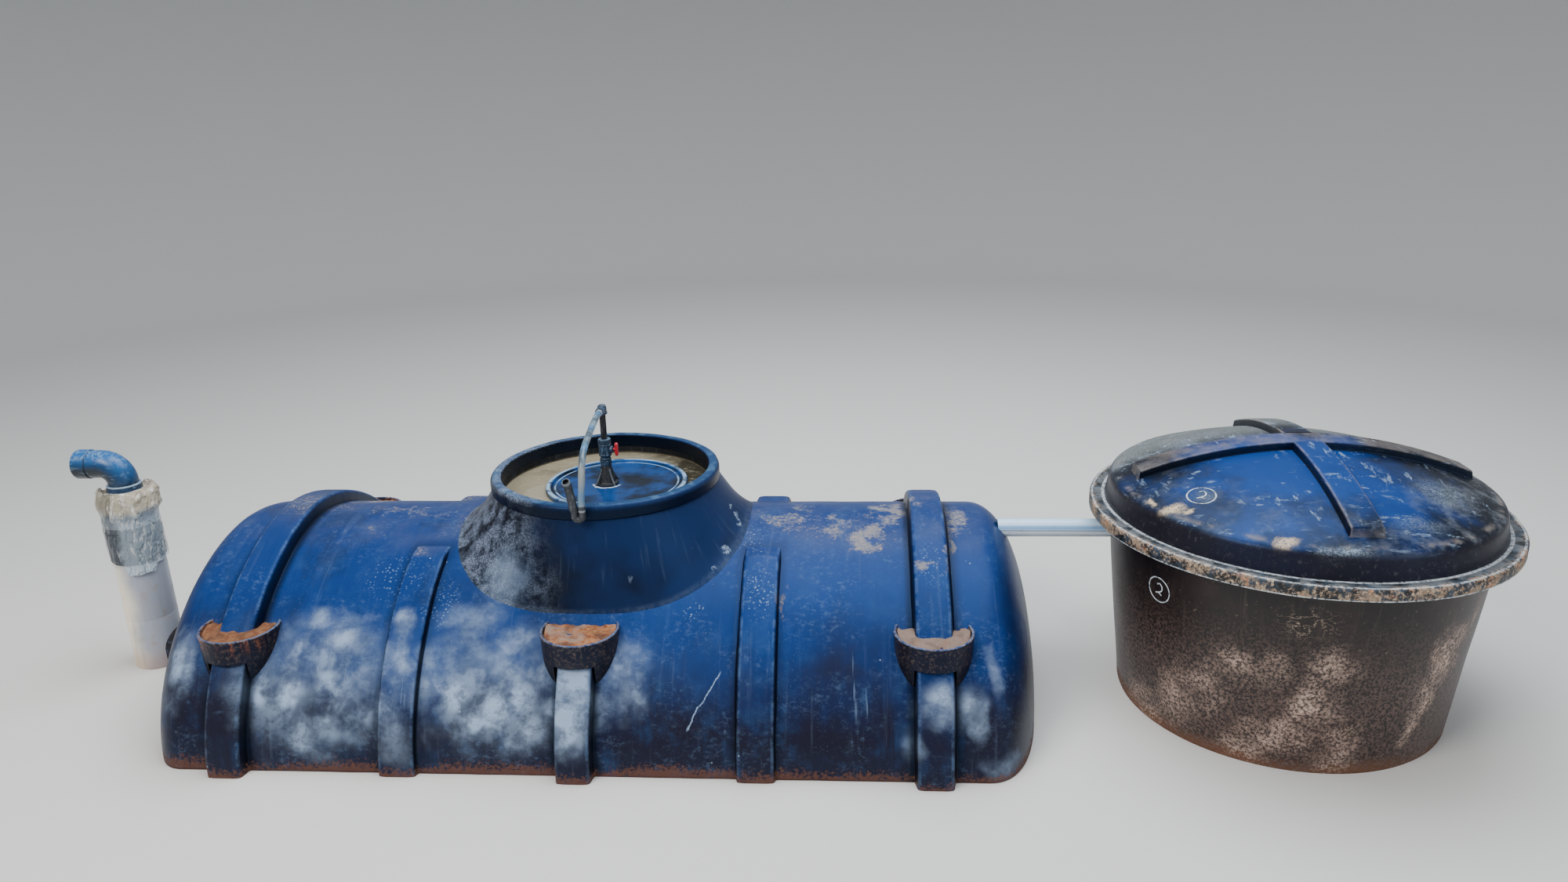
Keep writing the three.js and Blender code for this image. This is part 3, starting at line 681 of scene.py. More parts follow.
# Tan dust, most of it on the crown
TAN = (
    Spot((0.95, 0.02, 0.574), (0.13, 0.15, 0.05)), Spot((0.885, -0.15, 0.549), (0.12, 0.1, 0.04), 0.8),
    Spot((0.76, -0.08, 0.564), (0.14, 0.12, 0.03), 0.55), Spot((0.6, 0.0, 0.572), (0.14, 0.24, 0.03), 0.5),
    Spot((1.134, -0.2, 0.53), (0.016, 0.22, 0.09), 0.95), Spot((1.07, -0.345, 0.515), (0.04, 0.045, 0.06), 0.8),
    Spot((1.07, 0.0, 0.62), (0.05, 0.12, 0.03), 0.5), Spot((1.16, -0.03, 0.57), (0.07, 0.16, 0.03), 0.6),
    Spot((-0.72, 0.02, 0.574), (0.36, 0.1, 0.02), 0.4), Spot((-1.22, -0.62, 0.1), (0.05, 0.1, 0.06), 0.4),
    Spot((0.62, -0.4, 0.43), (0.02, 0.12, 0.12), 0.4), Spot((-0.9, 0.2, 0.55), (0.12, 0.12, 0.05), 0.6),
)
# Splashes on the slurry tank's wall, in slanting bands of painted sunlight with painted shadow between them
SPLASHES_IN_LIT_BANDS = (
    Spot((1.757, -0.3, 0.03), (0.07, 0.14, 0.1), 0.7), Spot((1.8, -0.4, 0.13), (0.07, 0.1, 0.1), 0.7),
    Spot((1.86, -0.48, 0.23), (0.08, 0.09, 0.09), 0.8), Spot((1.95, -0.56, 0.33), (0.1, 0.09, 0.08), 0.8),
    Spot((1.99, -0.55, 0.04), (0.1, 0.12, 0.09), 0.8), Spot((2.06, -0.58, 0.12), (0.1, 0.1, 0.1)),
    Spot((2.13, -0.62, 0.24), (0.09, 0.1, 0.1)), Spot((2.17, -0.64, 0.38), (0.08, 0.1, 0.09), 0.8),
    Spot((2.22, -0.6, 0.08), (0.08, 0.1, 0.1), 0.7), Spot((2.45, -0.57, 0.2), (0.06, 0.1, 0.14), 1.3),
    Spot((2.52, -0.55, 0.36), (0.06, 0.1, 0.11), 1.3), Spot((2.6, -0.5, 0.45), (0.05, 0.1, 0.08), 0.7),
    Spot((2.0, 0.42, 0.2), (0.2, 0.2, 0.14), 0.8), Spot((2.55, 0.36, 0.28), (0.2, 0.2, 0.12), 0.7),
)
# White scuffs on the skirt
SCUFFS = (
    Spot((0.31, -0.33, 0.62), (0.016, 0.03, 0.03)), Spot((0.34, -0.31, 0.585), (0.02, 0.03, 0.014)),
    Spot((0.33, -0.36, 0.54), (0.018, 0.03, 0.016)), Spot((-0.1, -0.42, 0.6), (0.012, 0.03, 0.02), 0.7),
    Spot((0.15, -0.43, 0.52), (0.01, 0.03, 0.02), 0.6),
)
# Small white flecks on the skirt's right
FLECKS = (
    Spot((0.419, -0.049, 0.626), (0.01, 0.02, 0.008), 0.7), Spot((0.441, -0.074, 0.597), (0.009, 0.02, 0.02)),
    Spot((0.453, -0.106, 0.58), (0.008, 0.02, 0.012), 0.8), Spot((0.423, -0.233, 0.545), (0.014, 0.02, 0.011)),
    Spot((0.392, -0.302, 0.509), (0.006, 0.02, 0.012), 0.5),
)
# Wide zones in which the painted sun dapples gather
SUNLIT_ZONES = (
    Spot((-0.8, -0.58, 0.22), (0.27, 0.19, 0.21), 1.2), Spot((-0.27, -0.58, 0.22), (0.25, 0.19, 0.21), 1.15),
    Spot((-0.55, -0.6, 0.22), (0.07, 0.13, 0.2), 0.9), Spot((0.0, -0.64, 0.2), (0.08, 0.11, 0.18), 1.6),
    Spot((0.13, -0.57, 0.29), (0.11, 0.12, 0.14), 0.9), Spot((-1.26, -0.55, 0.28), (0.06, 0.12, 0.14), 0.8),
)
# Places with fine pale dots
DOTTED = (
    Spot((0.342, -0.43, 0.42), (0.035, 0.04, 0.03)), Spot((0.54, -0.38, 0.46), (0.055, 0.13, 0.09), 0.9),
    Spot((0.5, -0.16, 0.55), (0.05, 0.12, 0.04), 0.6), Spot((-0.62, -0.33, 0.49), (0.12, 0.12, 0.08), 0.6),
    Spot((-0.45, -0.42, 0.44), (0.06, 0.1, 0.08), 0.8), Spot((1.067, -0.3, 0.52), (0.06, 0.1, 0.08), 0.6),
)
# Fine curled lines on the slurry tank's wall
CURLED = (Spot((2.08, -0.637, 0.5), (0.11, 0.05, 0.06)),)
# Worn tan places and pale haze on the slurry tank's lid
COVER_TAN = (
    Spot((1.764, -0.374, 0.737), (0.04, 0.028, 0.05)), Spot((1.72, -0.31, 0.733), (0.014, 0.03, 0.05)),
    Spot((1.8, -0.4, 0.745), (0.02, 0.015, 0.05)), Spot((2.009, -0.604, 0.732), (0.035, 0.02, 0.03)),
)
COVER_PALE = (
    Spot((2.116, -0.66, 0.727), (0.13, 0.022, 0.03)), Spot((2.38, -0.54, 0.747), (0.09, 0.05, 0.04), 0.5),
    Spot((2.52, -0.36, 0.78), (0.12, 0.1, 0.05), 0.5), Spot((1.86, -0.35, 0.772), (0.06, 0.05, 0.04), 0.25),
)
# Places with upright scratches
SCORED = (
    Spot((0.793, -0.59, 0.25), (0.018, 0.12, 0.12)), Spot((0.834, -0.585, 0.26), (0.014, 0.12, 0.1)),
    Spot((0.868, -0.6, 0.24), (0.01, 0.1, 0.06)), Spot((0.922, -0.61, 0.215), (0.016, 0.1, 0.08)),
    Spot((-0.7, -0.6, 0.26), (0.02, 0.1, 0.09)), Spot((-0.54, -0.62, 0.2), (0.03, 0.1, 0.1)),
)


@dataclass(frozen=True)
class MouldedBlack(Finish):
    """Weathered black moulded plastic, blue above from a painted sky reflection: painted sun dapples
    on dusty plastic, painted shadows, speckles, scratches, tan dust on the crown, worn edges with a
    painted highlight, painted shade in corners and a soil line at the foot."""

    low: str = "#1e1a24"
    high: str = "#0b2f69"
    haze_and_sunlight: str = "#96a9c3"
    dust: str = "#8b8886"
    sunlight_strength: float = 0.8
    speckle: float = 0.3
    gloss: float = 0.38
    level: float = 0.25
    sheen: Colour = SHEEN
    lug: bool = False

    def fill(self, paint: Paint) -> None:
        """Fills the material's nodes.

        Args:
            paint: The material to fill.
        """
        # The plastic: dark below and blue above, the blue a painted sky reflection; clouded and streaked
        clouds = paint.noise(2.6, 4, rough=0.6)
        fine = paint.noise(260, 2, rough=0.7)
        streaks = paint.noise(52, 5, (1, 0.05, 0.05), 0.65)
        smears = paint.noise(16, 4, (1, 0.14, 0.14), 0.6, 6.0)
        rise = paint.z + clouds * 0.56 + smears * 0.16 - 0.36
        paint.start(rise.smooth(0.11, 0.52), self.low, self.high)
        film = paint.noise(8.5, 5, rough=0.66, shift=3.0).smooth(0.46, 0.74) * smears.smooth(0.36, 0.6) * 0.42
        paint.over(film, "#2b4c78")
        # Painted shadows: darker clouds over the left part of the barrel
        dark = paint.noise(7, 5, (1, 0.5, 0.5), 0.68, 25.0).smooth(0.48, 0.66) * paint.x.smooth(-0.1, -0.45)
        paint.over(dark * 0.42, "#101c33")
        paint.over(streaks.smooth(0.56, 0.72) * 0.05, self.haze_and_sunlight)
        # Painted dappled sunlight in ragged patches on the dusty plastic; where gaps is low, the broad zones
        # lie in painted branch shadow
        mottle = paint.noise(17, 5, rough=0.7, shift=8.0).smooth(0.36, 0.62)
        dapple = paint.cells(10.5).smooth(0.64, 0.12) * (0.4 + mottle * 0.6)
        gaps = paint.noise(7.5, 3, (1, 1, 0.8), shift=21.0).smooth(0.44, 0.54)
        broad = paint.spots(SUNLIT_ZONES, 0.15, 7, 0.5) * (0.15 + dapple * 0.74 + mottle * 0.32)
        narrow = paint.spots(SUN_DAPPLES, 0.1, 11, 0.2) * (0.22 + dapple * 0.66 + mottle * 0.26)
        sunlit_patches = (broad * (0.42 + gaps * 0.7)).most(narrow)
        paint.over(sunlit_patches * self.sunlight_strength, self.haze_and_sunlight)
        # Brushed marks, scratches, specks and nicks
        brushed = paint.noise(66, 6, (0.7, 0.8, 1), 0.8, 12.0).smooth(0.5, 0.66)
        paint.over(brushed * paint.noise(6, 4, shift=13.0).smooth(0.4, 0.62) * 0.15, "#7f9bc0")
        scores = paint.noise(95, 3, (1, 0.04, 0.04), shift=5.0).smooth(0.61, 0.66) * paint.spots(SCORED, 0.02)
        paint.over(scores * 0.26, "#8ea6c2")
        specks = fine.smooth(0.66, 0.74) * paint.noise(6, 3, shift=9.0).smooth(0.42, 0.62)
        paint.over(specks * self.speckle, "#8fa6bd")
        dots = paint.cells(95).smooth(0.34, 0.2) * paint.spots(DOTTED, 0.06, 14, 0.3) * fine.smooth(0.4, 0.55)
        path = paint.z.smooth(0.12, 0.33) * 0.11 + paint.noise(22, 3, shift=17.0) * 0.03 + 0.318
        scratch = (paint.x - path).size().smooth(0.004, 0.0012) * paint.y.smooth(-0.4, -0.5)
        scratch = scratch * paint.z.smooth(0.138, 0.15) * paint.z.smooth(0.295, 0.28)
        dots = dots.most(scratch * fine.smooth(0.3, 0.5))
        paint.over(dots * 0.62, "#9fb9d6")
        nicks = paint.cells(22).smooth(0.075, 0.04) * paint.noise(4.2, 2, shift=2.0).smooth(0.58, 0.63)
        paint.over(nicks * 0.5, "#aebdcb")
        # Dust on the crown
        grains = paint.noise(90, 5, rough=0.78, shift=7.0)
        top = paint.upward().smooth(0.92, 0.995) * paint.noise(4, 4, shift=4.0).smooth(0.36, 0.66)
        tan = paint.spots(TAN, 0.2, 9, 0.1).most(top * 0.34)
        tan = (tan + (grains - 0.5) * 1.1 - 0.05).smooth(0.18, 0.62)
        paint.over(top * 0.12 + rise.smooth(0.42, 0.75) * smears * 0.08, self.dust)
        paint.over(tan * 0.72, self.dust)
        paint.over(tan * grains.smooth(0.52, 0.64) * 0.55, "#b29c83")
        # Worn edges with a painted highlight, painted shade in corners and on side faces, and the soil line
        worn = paint.mark("wear_and_highlight") * paint.noise(28, 4, rough=0.7, shift=1.0).smooth(0.4, 0.68)
        paint.over(worn * 0.26, "#7393bb")
        if self.lug:
            self.soiled(paint, grains, streaks)
        paint.over(paint.mark("shade") * 0.93, "#050508")
        soil = (paint.z + (clouds - 0.5) * 0.1 + (grains - 0.5) * 0.16).smooth(0.034, 0.008)
        paint.over(soil * 0.66, "#6e4a36")
        rough = sunlit_patches * 0.22 + tan * 0.4 + soil * 0.4 + film * 0.3 + fine * 0.12 + (self.gloss - 0.06)
        height = fine * 0.1 + paint.noise(5.5, 2, shift=6.0) * 0.9
        paint.dress(rough, height, 0.006, 0.3, level=self.level, Specular_Tint=self.sheen)

    def soiled(self, paint: Paint, grains: Num, streaks: Num) -> None:
        """A lug's dark brown face with tan grains, orange runs and a dusty lip.

        Args:
            paint: The material to fill.
            grains: The grainy noise.
            streaks: The upright streaks.
        """
        face = paint.upward().smooth(0.75, 0.35)
        paint.over(face * 0.94, "#1d1617")
        paint.over(face * grains.smooth(0.5, 0.66) * 0.44, "#84715f")
        runs = streaks.smooth(0.48, 0.6) * paint.z.smooth(0.335, 0.39) * paint.x.smooth(-0.9, -1.0)
        paint.over(face * runs * grains.smooth(0.38, 0.55) * 0.7, "#a8623f")
        lip = paint.z.smooth(0.3925, 0.3965) * grains.smooth(0.4, 0.62)
        paint.over(lip * 0.5, "#94877c")


@dataclass(frozen=True)
class SkirtBlack(Finish):
    """The neck's skirt and rim: grey-brown speckled scuffing at the left, clean navy with short
    white scuffs at the right, a dusty crease at its foot. The navy is a painted sky reflection; the
    skirt carries painted sun dapples and painted shade, and the rim's top a painted highlight band."""

    low: str = "#101016"
    high: str = "#15264a"
    grit: str = "#8692a8"
    rim: bool = False

    def fill(self, paint: Paint) -> None:
        """Fills the material's nodes.

        Args:
            paint: The material to fill.
        """
        clouds = paint.noise(3.4, 3, shift=2.0)
        fine = paint.noise(210, 3, rough=0.75)
        # Near black at the left to navy at the right; the navy is a painted sky reflection
        paint.start((clouds + (paint.x + 0.1) * 0.45).smooth(0.36, 0.74), self.low, self.high)
        runs = paint.runs((0.0, 0.0), 60, 0.1)
        # Painted sun dapples on the dusty skirt
        haze_and_sunlight = paint.spots(SUN_DAPPLES, 0.08, 11, 0.3) * (0.4 + runs * 0.8)
        left = (paint.x + (clouds - 0.5) * 0.4).smooth(-0.06, -0.36)
        grit = left * paint.noise(20, 5, rough=0.72, shift=5.0).smooth(0.36, 0.62)
        grit = grit * (0.25 + fine.smooth(0.42, 0.6) * 0.75)
        if self.rim:
            # The rim's top: a painted sky reflection with a painted highlight band
            top = paint.upward().smooth(0.7, 0.98)
            paint.over(top * 0.7, "#163f66")
            band = paint.noise(24, 4, (1, 1, 3), shift=8.0).smooth(0.48, 0.66) * top
            paint.over(band * 0.3, "#6087a8")
            inner = paint.radius().smooth(0.362, 0.347)
            grit = grit.most(inner * left * fine.smooth(0.5, 0.62))
        paint.over(grit * 0.78, self.grit)
        paint.over(haze_and_sunlight * 0.42, "#8ea3be")
        torn = paint.noise(60, 4, (1, 1, 0.45), 0.7, 4.0).smooth(0.42, 0.52)
        flecks = paint.spots(FLECKS, 0.045, 45, 0.1) * fine.smooth(0.38, 0.54) * 0.8
        dabs = (paint.spots(SCUFFS, 0.05, 26, 0.2) * torn).most(flecks)
        paint.over(dabs * 0.9, "#b3c9df")
        paint.over(runs.smooth(0.57, 0.74) * 0.05, "#8ba0b6")
        worn = paint.mark("wear_and_highlight") * paint.noise(30, 5, rough=0.7).smooth(0.3, 0.66)
        paint.over(worn * 0.34, "#8493a5")
        # Painted shade in corners
        paint.over(paint.mark("shade") * 0.94, "#050609")
        rough = grit * 0.3 + haze_and_sunlight * 0.2 + fine * 0.16 + worn * 0.2 + 0.31
        height = fine * 0.12 + paint.noise(7, 2, shift=3.0) * 0.8
        paint.dress(rough, height, 0.005, 0.3, level=0.27, Specular_Tint=SHEEN)


@dataclass(frozen=True)
class InnerBlack(Finish):
    """Dull black moulded plastic with fine upright streaks and a scum line at the water."""

    base: str = "#0b0c0f"
    streak: str = "#3b3d40"
    water: float = 0.675

    def fill(self, paint: Paint) -> None:
        """Fills the material's nodes.

        Args:
            paint: The material to fill.
        """
        streaks = paint.runs((0.0, 0.0), 80, 0.1).smooth(0.52, 0.75)
        paint.start(streaks * 0.5, self.base, self.streak)
        paint.over(paint.noise(9, 4, shift=4.0).smooth(0.55, 0.8) * 0.35, "#25384e")
        scum = (paint.z + paint.noise(30, 3) * 0.006).smooth(self.water + 0.011, self.water + 0.001)
        paint.over(scum * 0.55, "#8b8066")
        grain = paint.noise(320, 2)
        paint.dress(0.42 + grain * 0.2, grain * 0.3 + streaks * 0.3, 0.0008, 0.4, level=0.25)


@dataclass(frozen=True)
class Soil(Finish):
    """Crumbly orange-tan soil."""

    light: str = "#ab7853"
    deep: str = "#7d4429"

    def fill(self, paint: Paint) -> None:
        """Fills the material's nodes.

        Args:
            paint: The material to fill.
        """
        lumps = paint.noise(38, 6, rough=0.7)
        grains = paint.noise(240, 4, rough=0.8, shift=2.0)
        paint.start(lumps.smooth(0.35, 0.65), self.deep, self.light)
        paint.over(grains.smooth(0.55, 0.75) * 0.45, "#dcbfa6")
        pale = paint.x.smooth(-0.9, -0.2) * paint.noise(14, 4, shift=5.0).smooth(0.4, 0.6)
        paint.over(pale * 0.7, "#8d8078")
        paint.over(paint.noise(22, 4, shift=9.0).smooth(0.5, 0.64) * 0.6, "#46362f")
        paint.over(paint.x.smooth(0.4, 0.9) * 0.55, "#786a62")
        # Darker brown towards the left end: painted shade
        paint.over(paint.x.smooth(-0.7, -1.0) * 0.55, "#5d4334")
        paint.dress(0.95, lumps * 0.6 + grains * 0.5, 0.004, 0.9, level=0.15)


@dataclass(frozen=True)
class Water(Finish):
    """Still khaki water with a dusty skin, darker towards the right as a painted reflection."""

    light: str = "#8b826d"
    deep: str = "#38342a"

    def fill(self, paint: Paint) -> None:
        """Fills the material's nodes.

        Args:
            paint: The material to fill.
        """
        clouds = paint.noise(6, 5, rough=0.6)
        # Darker towards the right: a painted reflection
        paint.start((clouds - paint.x * 0.75).smooth(0.26, 0.64), self.deep, self.light)
        skin = paint.noise(26, 5, (1, 1.6, 1), 0.7, 3.0).smooth(0.52, 0.68)
        paint.over(skin * 0.35, "#aba188")
        paint.dress(0.07 + skin * 0.22, paint.noise(16, 3, shift=6.0), 0.002, 0.12, level=0.55)


@dataclass(frozen=True)
class WetLid(Finish):
    """The floating lid: black plastic under a film of water, blue from a painted sky reflection, with pale
    rings at its edge and a white scum line by the boss."""

    centre: Pair

    def fill(self, paint: Paint) -> None:
        """Fills the material's nodes.

        Args:
            paint: The material to fill.
        """
        radius = paint.radius(self.centre)
        clouds = paint.noise(7, 4, rough=0.6)
        # Black to blue: a painted sky reflection on the wet top
        paint.start(clouds.smooth(0.36, 0.64), "#060e1a", "#0b3c74")
        dull = paint.noise(12, 4, (1, 2, 1), 0.65, 4.0).smooth(0.46, 0.66) * paint.y.smooth(-0.02, 0.12)
        paint.over(dull * 0.06, "#4c5a5c")
        inner = (radius - 0.206).size().smooth(0.0045, 0.001) * 0.8
        ring = (radius - 0.229).size().smooth(0.01, 0.003).most(inner)
        ring = ring * paint.noise(22, 4, shift=2.0).smooth(0.3, 0.55)
        paint.over(ring * 0.75, "#9cbbd6")
        bank = paint.radius() - 0.052 + paint.noise(50, 3, shift=2.0) * 0.012
        scum = bank.size().smooth(0.006, 0.002) * paint.y.smooth(0.0, -0.03)
        paint.over(scum * paint.noise(60, 4, shift=1.0).smooth(0.36, 0.52), "#dfe6ea")
        paint.dress(0.2 + dull * 0.25 + ring * 0.12, clouds, 0.002, 0.25, level=0.24, Specular_Tint=SHEEN)


@dataclass(frozen=True)
class Fitting(Finish):
    """Moulded pipe fitting: even plastic with fine scuffs, worn, dusty rings that also carry a painted
    highlight, and painted shade in its recesses.
    """

    base: str = "#1f3347"
    light: str = "#7d9cb8"
    gloss: float = 0.35

    def fill(self, paint: Paint) -> None:
        """Fills the material's nodes.

        Args:
            paint: The material to fill.
        """
        scuffs = paint.noise(140, 4, (1, 1, 0.4), 0.7)
        paint.start(scuffs.smooth(0.5, 0.72) * 0.45, self.base, self.light)
        paint.over(paint.noise(45, 3, shift=2.0).smooth(0.55, 0.75) * 0.4, "#0c1016")
        # Pale rings and edges, worn and with a painted highlight; then painted shade
        paint.over(paint.mark("wear_and_highlight") * 0.8, self.light)
        paint.over(paint.mark("shade") * 0.85, "#0a0c10")
        paint.dress(self.gloss + scuffs * 0.2, scuffs, 0.0004, 0.4)


@dataclass(frozen=True)
class WhitePipe(Finish):
    """Dusty white pipe with soil smudges: cream at its left, where painted sunlight falls, and
    cool grey at its right, in painted shade.
    """

    def fill(self, paint: Paint) -> None:
        """Fills the material's nodes.

        Args:
            paint: The material to fill.
        """
        # Painted light: the left side cream as if sunlit, the right side cool grey as if shaded
        side = ((paint.x - INLET_X) * 9 + (paint.noise(5, 3) - 0.5) * 0.9).smooth(-0.46, 0.22)
        paint.start(side, "#fbf0d8", "#a4a9b6")
        streaks = paint.noise(60, 4, (1, 1, 0.08)).smooth(0.52, 0.72)
        paint.over(streaks * 0.28, "#8f8d88")
        smudge = paint.noise(16, 5, rough=0.7, shift=6.0).smooth(0.52, 0.7)
        paint.over(smudge * 0.45, "#a88f77")
        foot = (paint.z + smudge * 0.06).smooth(0.11, 0.01)
        paint.over(foot * 0.45, "#a4785c")
        paint.over(paint.mark("shade") * 0.6, "#4a4d50")
        paint.dress(0.38 + smudge * 0.3 + foot * 0.2, streaks * 0.3 + paint.noise(220, 2) * 0.3, 0.0006, 0.4)


@dataclass(frozen=True)
class BluePipe(Finish):
    """Glossy blue-grey pipe: lit blue on top and dark underneath as painted light, pale dust on top,
    dark joints and painted shade in its bore.
    """

    def fill(self, paint: Paint) -> None:
        """Fills the material's nodes.

        Args:
            paint: The material to fill.
        """
        clouds = paint.noise(20, 4, rough=0.65)
        # Painted light: lit blue on top, shaded dark grey underneath
        paint.start((paint.upward() + clouds * 0.6).smooth(0.0, 1.15), "#1b242d", "#205c97")
        dust = paint.noise(60, 5, rough=0.72, shift=3.0).smooth(0.46, 0.64) * paint.upward().smooth(0.35, 0.9)
        paint.over(dust * 0.4, "#a9bfd0")
        paint.over(paint.noise(90, 3, (0.3, 1, 1), shift=1.0).smooth(0.56, 0.74) * 0.3, "#8fb0cb")
        # Dark joints, and painted shade in the bore
        paint.over(paint.mark("shade") * 0.9, "#0e1a26")
        paint.over(paint.mark("wear_and_highlight") * 0.7, "#c3d3de")
        paint.dress(0.27 + dust * 0.3, clouds * 0.4 + paint.noise(260, 2) * 0.2, 0.0006, 0.35, level=0.35)


@dataclass(frozen=True)
class OutletPipe(Finish):
    """Blue-white pipe, bluer towards the top with a blue band above its middle as a painted sky
    reflection, and two thin dark lines along it.
    """

    height: float
    radius: float

    def fill(self, paint: Paint) -> None:
        """Fills the material's nodes.

        Args:
            paint: The material to fill.
        """
        up = (paint.z - self.height) / self.radius
        # Bluer towards the top, with a blue band above the middle: a painted sky reflection
        paint.start(up.smooth(-0.9, 0.9), "#edf5fd", "#c2e0fb")
        paint.over((up - 0.34).size().smooth(0.3, 0.1) * 0.75, "#66a3dc")
        paint.over((up - 0.02).size().smooth(0.07, 0.03) * 0.85, "#1d4a78")
        paint.over((up + 0.55).size().smooth(0.08, 0.03) * 0.5, "#5d83a6")
        dirt = paint.noise(30, 5, (0.4, 1, 1), 0.7, 2.0).smooth(0.54, 0.7)
        paint.over(dirt * 0.4, "#8d7d70")
        paint.dress(0.3 + dirt * 0.3, paint.noise(150, 3), 0.0004, 0.3)


@dataclass(frozen=True)
class ClearHose(Finish):
    """Clear hose gone milky, with bluish wraps."""

    def fill(self, paint: Paint) -> None:
        """Fills the material's nodes.

        Args:
            paint: The material to fill.
        """
        milky = paint.noise(26, 4, (1, 1, 0.6), 0.6)
        paint.start(milky.smooth(0.38, 0.64), "#41505c", "#8aa2b3")
        lower = paint.z.smooth(0.9, 0.86)
        paint.over(lower * 0.8, "#a5a8a4")
        paint.over(paint.noise(120, 3, (3, 0.3, 0.3)).smooth(0.5, 0.7) * 0.35, "#40566a")
        # The bluish wraps are carried on the same mark as wear and painted highlights
        blue = paint.mark("wear_and_highlight")
        paint.over(blue * 0.75, "#4f8ab8")
        paint.dress(0.22 + milky * 0.15, milky, 0.0012, 0.4, Transmission_Weight=0.25)


@dataclass(frozen=True)
class ClearFilm(Finish):
    """Thin clear film: dusty beige and dense at its gathered top, milky below, clear at its foot, with
    painted white glints along its crease lines.
    """

    def fill(self, paint: Paint) -> None:
        """Fills the material's nodes.

        Args:
            paint: The material to fill.
        """
        crumple = paint.noise(17, 3, (1, 1, 0.7), 0.5)
        creases_with_glints = paint.noise(48, 4, (1, 1, 0.35), 0.62, 2.0).smooth(0.66, 0.5)
        folds = (paint.noise(26, 3, (1, 1, 0.5), 0.55, 4.0) - 0.5).size().smooth(0.0, 0.09)
        upper = (paint.z + (crumple - 0.5) * 0.05).smooth(0.585, 0.615)
        paint.start(upper, "#b9c9d6", "#b9af9b")
        # White crease lines: painted glints
        paint.over(creases_with_glints.smooth(1.0, 0.0) * 0.55, "#f2f0ea")
        paint.over(folds.smooth(0.6, 0.0) * upper * 0.26, "#83775f")
        milky = (paint.z + (crumple - 0.5) * 0.012).smooth(0.54, 0.546)
        flap = paint.z.smooth(0.412, 0.398)
        right = (paint.x + (crumple - 0.5) * 0.06).smooth(-1.715, -1.68)
        cream = (paint.x - paint.z * 0.05).smooth(-1.795, -1.815)
        paint.over(cream * 0.8, "#efe4cc")
        dense = (milky * 0.22 + upper * 0.12 + flap * 0.45 + right * 0.38 + cream * 0.45
                 + creases_with_glints.smooth(1.0, 0.2) * 0.16 + 0.1)
        height = creases_with_glints * 0.5 + folds * 0.8
        paint.dress(0.1 + crumple * 0.16, height, 0.006, 0.7, Alpha=dense.smooth(0.0, 1.0))


@dataclass(frozen=True)
class SlurryBlack(Finish):
    """The slurry tank's brown-black wall with tan splatter over its lower half, brighter in slanting
    bands of painted sunlight.
    """

    centre: Pair
    base: str = "#120c0e"
    splash: str = "#cbb09f"

    def fill(self, paint: Paint) -> None:
        """Fills the material's nodes.

        Args:
            paint: The material to fill.
        """
        clouds = paint.noise(4.5, 4, rough=0.6)
        fine = paint.noise(120, 5, rough=0.8)
        paint.start(clouds.smooth(0.4, 0.75), self.base, "#30211f")
        low = (paint.z + (clouds - 0.5) * 0.3).smooth(0.56, 0.2)
        paint.over(low * fine.smooth(0.44, 0.58) * 0.46, "#836a60")
        zone = 0.5 + paint.noise(22, 4, rough=0.7, shift=9.0).smooth(0.34, 0.62) * 0.6
        # The splash zones lie in slanting bands of painted sunlight; between them the wall stays dark as
        # painted shadow
        zone = paint.spots(SPLASHES_IN_LIT_BANDS, 0.22, 7, 0.0) * zone
        specks = fine.smooth(0.45, 0.56) * zone
        paint.over(zone * 0.3, "#765f57")
        paint.over(specks * 0.95, self.splash)
        few = paint.noise(60, 4, rough=0.7, shift=3.0).smooth(0.62, 0.7) * 0.6
        paint.over(few * 0.5, "#8f8069")
        lines = (paint.noise(24, 3, (1, 1, 1.8), 0.6, 2.0) - 0.5).size().smooth(0.02, 0.006)
        curls = paint.spots(CURLED, 0.05, 30, 0.1) * lines
        paint.over(curls * 0.5, "#b9a48f")
        runs = paint.runs(self.centre, 70, 0.07).smooth(0.54, 0.74)
        paint.over(runs * 0.22, "#5d5348")
        soil = (paint.z + (clouds - 0.5) * 0.1 + (fine - 0.5) * 0.22).smooth(0.04, 0.008)
        paint.over(soil * 0.7, "#6e4a36")
        rough = 0.42 + specks * 0.35 + soil * 0.35
        paint.dress(rough, fine * 0.3 + clouds * 0.5, 0.004, 0.3, level=0.38)


